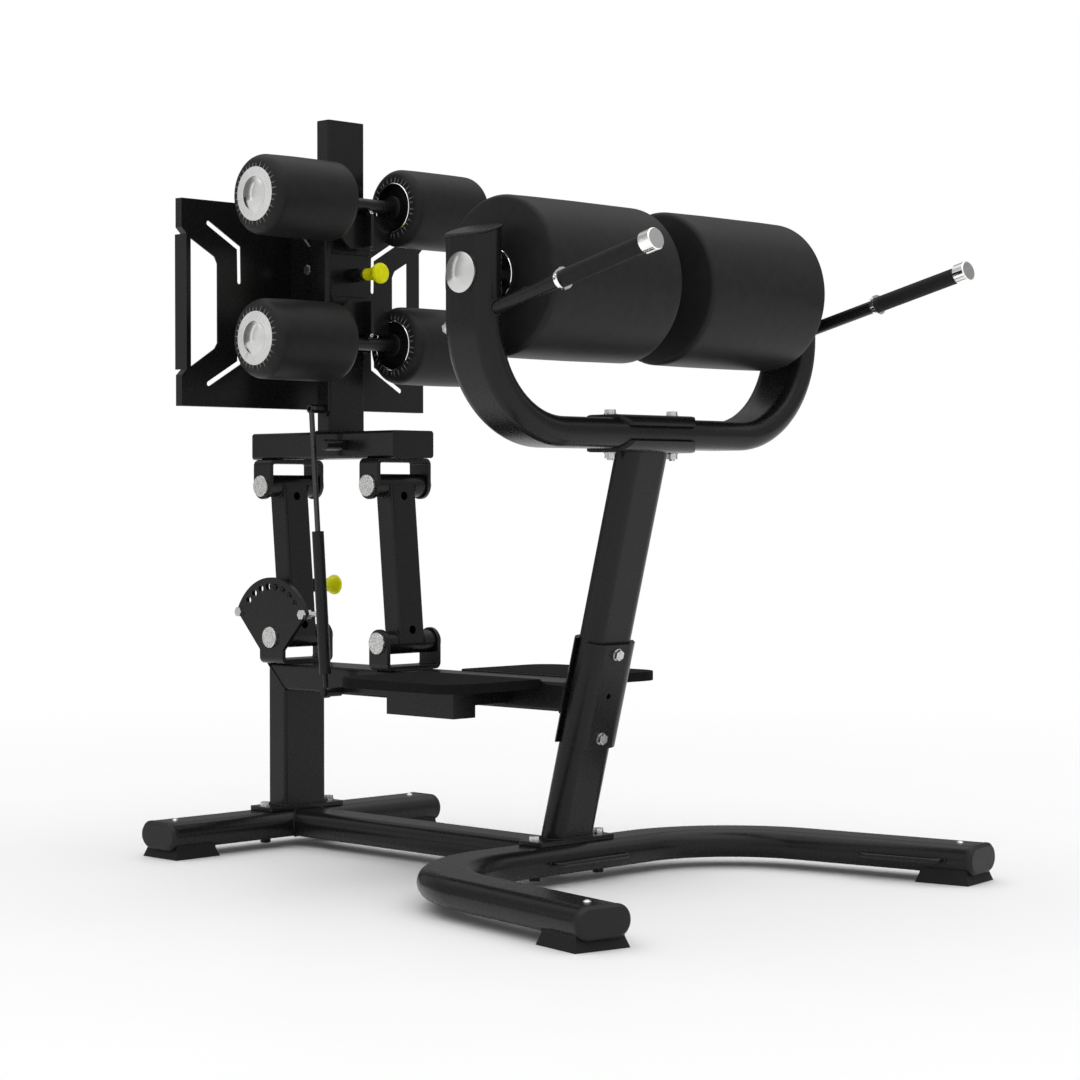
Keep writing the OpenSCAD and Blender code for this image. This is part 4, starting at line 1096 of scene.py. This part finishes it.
def area_lamp(name, place, target, width, height, power):
    """A tall lamp that faces a target."""
    data = bpy.data.lights.new(name, "AREA")
    data.shape = "RECTANGLE"
    data.size, data.size_y = width, height
    data.energy = power
    lamp = bpy.data.objects.new(name, data)
    bpy.context.scene.collection.objects.link(lamp)
    lamp.location = place
    lamp.rotation_euler = (Vector(target) - Vector(place)).to_track_quat("-Z", "Y").to_euler()


def light_path_fac(tree):
    """1 for camera, glossy and transmission rays, 0 for the rays that light matt surfaces."""
    path = tree.nodes.new("ShaderNodeLightPath")
    total = path.outputs["Is Camera Ray"]
    for other in ("Is Glossy Ray", "Is Transmission Ray"):
        higher = tree.nodes.new("ShaderNodeMath")
        higher.operation = "MAXIMUM"
        tree.links.new(total, higher.inputs[0])
        tree.links.new(path.outputs[other], higher.inputs[1])
        total = higher.outputs["Value"]
    return total


def white_room(ambient, front, back, overhead):
    """Plain white to the camera; a soft room with a bright ceiling and a dim far side to the object."""
    world = bpy.data.worlds.new("studio")
    bpy.context.scene.world = world
    world.use_nodes = True
    tree = world.node_tree
    tree.nodes.clear()
    new, link = tree.nodes.new, tree.links.new

    def ramp(value, low, high, start, end):
        node = new("ShaderNodeMapRange")
        node.interpolation_type = "SMOOTHSTEP"
        for key, number in (("From Min", low), ("From Max", high), ("To Min", start), ("To Max", end)):
            node.inputs[key].default_value = number
        link(value, node.inputs["Value"])
        return node.outputs["Result"]

    def joined(operation, first, second):
        node = new("ShaderNodeMath")
        node.operation = operation
        for number, value in enumerate((first, second)):
            if isinstance(value, float):
                node.inputs[number].default_value = value
            else:
                link(value, node.inputs[number])
        return node.outputs["Value"]

    # Heights are those of a ray's direction; the camera looks along equal parts of -X and Y
    diagonal, from_ceiling, matt_low = 0.7071, 0.9, 0.45
    direction = new("ShaderNodeTexCoord").outputs["Generated"]
    apart = new("ShaderNodeSeparateXYZ")
    link(direction, apart.inputs["Vector"])
    height = apart.outputs["Z"]
    towards = joined("MULTIPLY", joined("SUBTRACT", apart.outputs["X"], apart.outputs["Y"]), diagonal)
    ceiling = ramp(height, 0.45, 0.92, 0.0, overhead)
    glossy = joined("ADD", ramp(towards, -0.35, 0.45, back, front), ceiling)
    matt = joined("ADD", ramp(height, -0.1, 0.5, matt_low * ambient, ambient),
                  joined("MULTIPLY", ceiling, from_ceiling))
    path = new("ShaderNodeLightPath").outputs
    strength = new("ShaderNodeMix")
    link(path["Is Glossy Ray"], strength.inputs["Factor"])
    link(matt, strength.inputs["A"])
    link(glossy, strength.inputs["B"])
    light = new("ShaderNodeBackground")
    light.inputs["Color"].default_value = (1, 1, 1, 1)
    link(strength.outputs["Result"], light.inputs["Strength"])
    seen = new("ShaderNodeBackground")
    seen.inputs["Strength"].default_value = 1.0
    seen.inputs["Color"].default_value = (1, 1, 1, 1)
    mix = new("ShaderNodeMixShader")
    out = new("ShaderNodeOutputWorld")
    link(path["Is Camera Ray"], mix.inputs["Fac"])
    link(light.outputs["Background"], mix.inputs[1])
    link(seen.outputs["Background"], mix.inputs[2])
    link(mix.outputs["Shader"], out.inputs["Surface"])


def studio_floor(colour):
    """Pale floor that fades to the white of the background away from the object."""
    radius, fade_start, fade_end = 14, 1.5, 4.2
    mesh = bpy.data.meshes.new("studio_floor")
    builder = bmesh.new()
    bmesh.ops.create_circle(builder, cap_ends=True, segments=96, radius=radius)
    builder.to_mesh(mesh)
    builder.free()
    floor = bpy.data.objects.new("studio_floor", mesh)
    bpy.context.scene.collection.objects.link(floor)
    made = Shader("studio_floor", colour, roughness=0.45, specular=0.12)
    made.tint(made.grain(3), 0.004)
    made.bump(made.grain(400, 3), 0.02 * MM, 0.1)
    length = made.add("ShaderNodeVectorMath", operation="LENGTH")
    made.link(made.place, length.inputs[0])
    fade = made.add("ShaderNodeMapRange", interpolation_type="SMOOTHSTEP")
    fade.inputs["From Min"].default_value = fade_start
    fade.inputs["From Max"].default_value = fade_end
    made.link(length.outputs["Value"], fade.inputs["Value"])
    seen = made.add("ShaderNodeMath", operation="MULTIPLY")
    made.link(fade.outputs["Result"], seen.inputs[0])
    made.link(light_path_fac(made.tree), seen.inputs[1])
    white = made.add("ShaderNodeEmission")
    white.inputs["Strength"].default_value = 1.0
    mix = made.add("ShaderNodeMixShader")
    made.link(seen.outputs["Value"], mix.inputs["Fac"])
    made.link(made.surface.outputs["BSDF"], mix.inputs[1])
    made.link(white.outputs["Emission"], mix.inputs[2])
    made.link(mix.outputs["Shader"], made.output.inputs["Surface"])
    mesh.materials.append(made.material)


class GHD_OT_stage(bpy.types.Operator):
    """Sets the floor, the lamps, the white room and the camera"""

    bl_idname = "ghd.stage"
    bl_label = "Stage"

    def execute(self, context):
        stage = context.scene.ghd_stage
        context.scene.view_settings.view_transform = "Standard"
        white_room(stage.ambient, stage.front, stage.back, stage.ceiling)
        studio_floor(stage.floor)
        target, lamp_height = (0, 0, 0.7), 2.2
        area_lamp("left_light", (-2.6, -2.2, 1.7), target, 0.5, lamp_height, stage.rim)
        area_lamp("back_light", (1.6, 3.0, 1.9), target, 0.6, lamp_height, stage.rim)
        data = bpy.data.cameras.new("photo_camera")
        data.sensor_width = 36
        data.lens = stage.lens
        data.clip_end = 60
        camera = bpy.data.objects.new("photo_camera", data)
        context.scene.collection.objects.link(camera)
        camera.location = stage.camera_place
        camera.rotation_euler = stage.camera_turn
        context.scene.camera = camera
        return {"FINISHED"}


class GHD_PT_parts(bpy.types.Panel):
    """Lists the steps and their sizes"""

    bl_label = "Glute ham developer"
    bl_idname = "GHD_PT_parts"
    bl_space_type = "VIEW_3D"
    bl_region_type = "UI"
    bl_category = "Glute ham"

    def draw(self, context):
        layout = self.layout
        for step in STEPS:
            layout.operator(step.bl_idname)
        for key, group in GROUPS.items():
            box = layout.box()
            settings = getattr(context.scene, key)
            for name in group.__annotations__:
                box.prop(settings, name)


GROUPS = {
    "ghd_colours": FinishColours,
    "ghd_rollers": RollerSizes,
    "ghd_details": DetailSizes,
    "ghd_stage": StageSettings,
}
STEPS = [GHD_OT_frame_finish, GHD_OT_ankle_rollers, GHD_OT_thigh_pads, GHD_OT_stitches,
         GHD_OT_grub_screws, GHD_OT_welds, GHD_OT_stage]


def register():
    for item in [*GROUPS.values(), *STEPS, GHD_PT_parts]:
        bpy.utils.register_class(item)
    for key, group in GROUPS.items():
        setattr(bpy.types.Scene, key, bpy.props.PointerProperty(type=group))


def unregister():
    for key in GROUPS:
        delattr(bpy.types.Scene, key)
    for item in reversed([*GROUPS.values(), *STEPS, GHD_PT_parts]):
        bpy.utils.unregister_class(item)


def main():
    register()
    bpy.ops.ghd.frame_finish()
    bpy.ops.ghd.ankle_rollers()
    bpy.ops.ghd.thigh_pads()
    bpy.ops.ghd.stitches()
    bpy.ops.ghd.grub_screws()
    bpy.ops.ghd.welds()
    bpy.ops.ghd.stage()


if __name__ == "__main__":
    main()
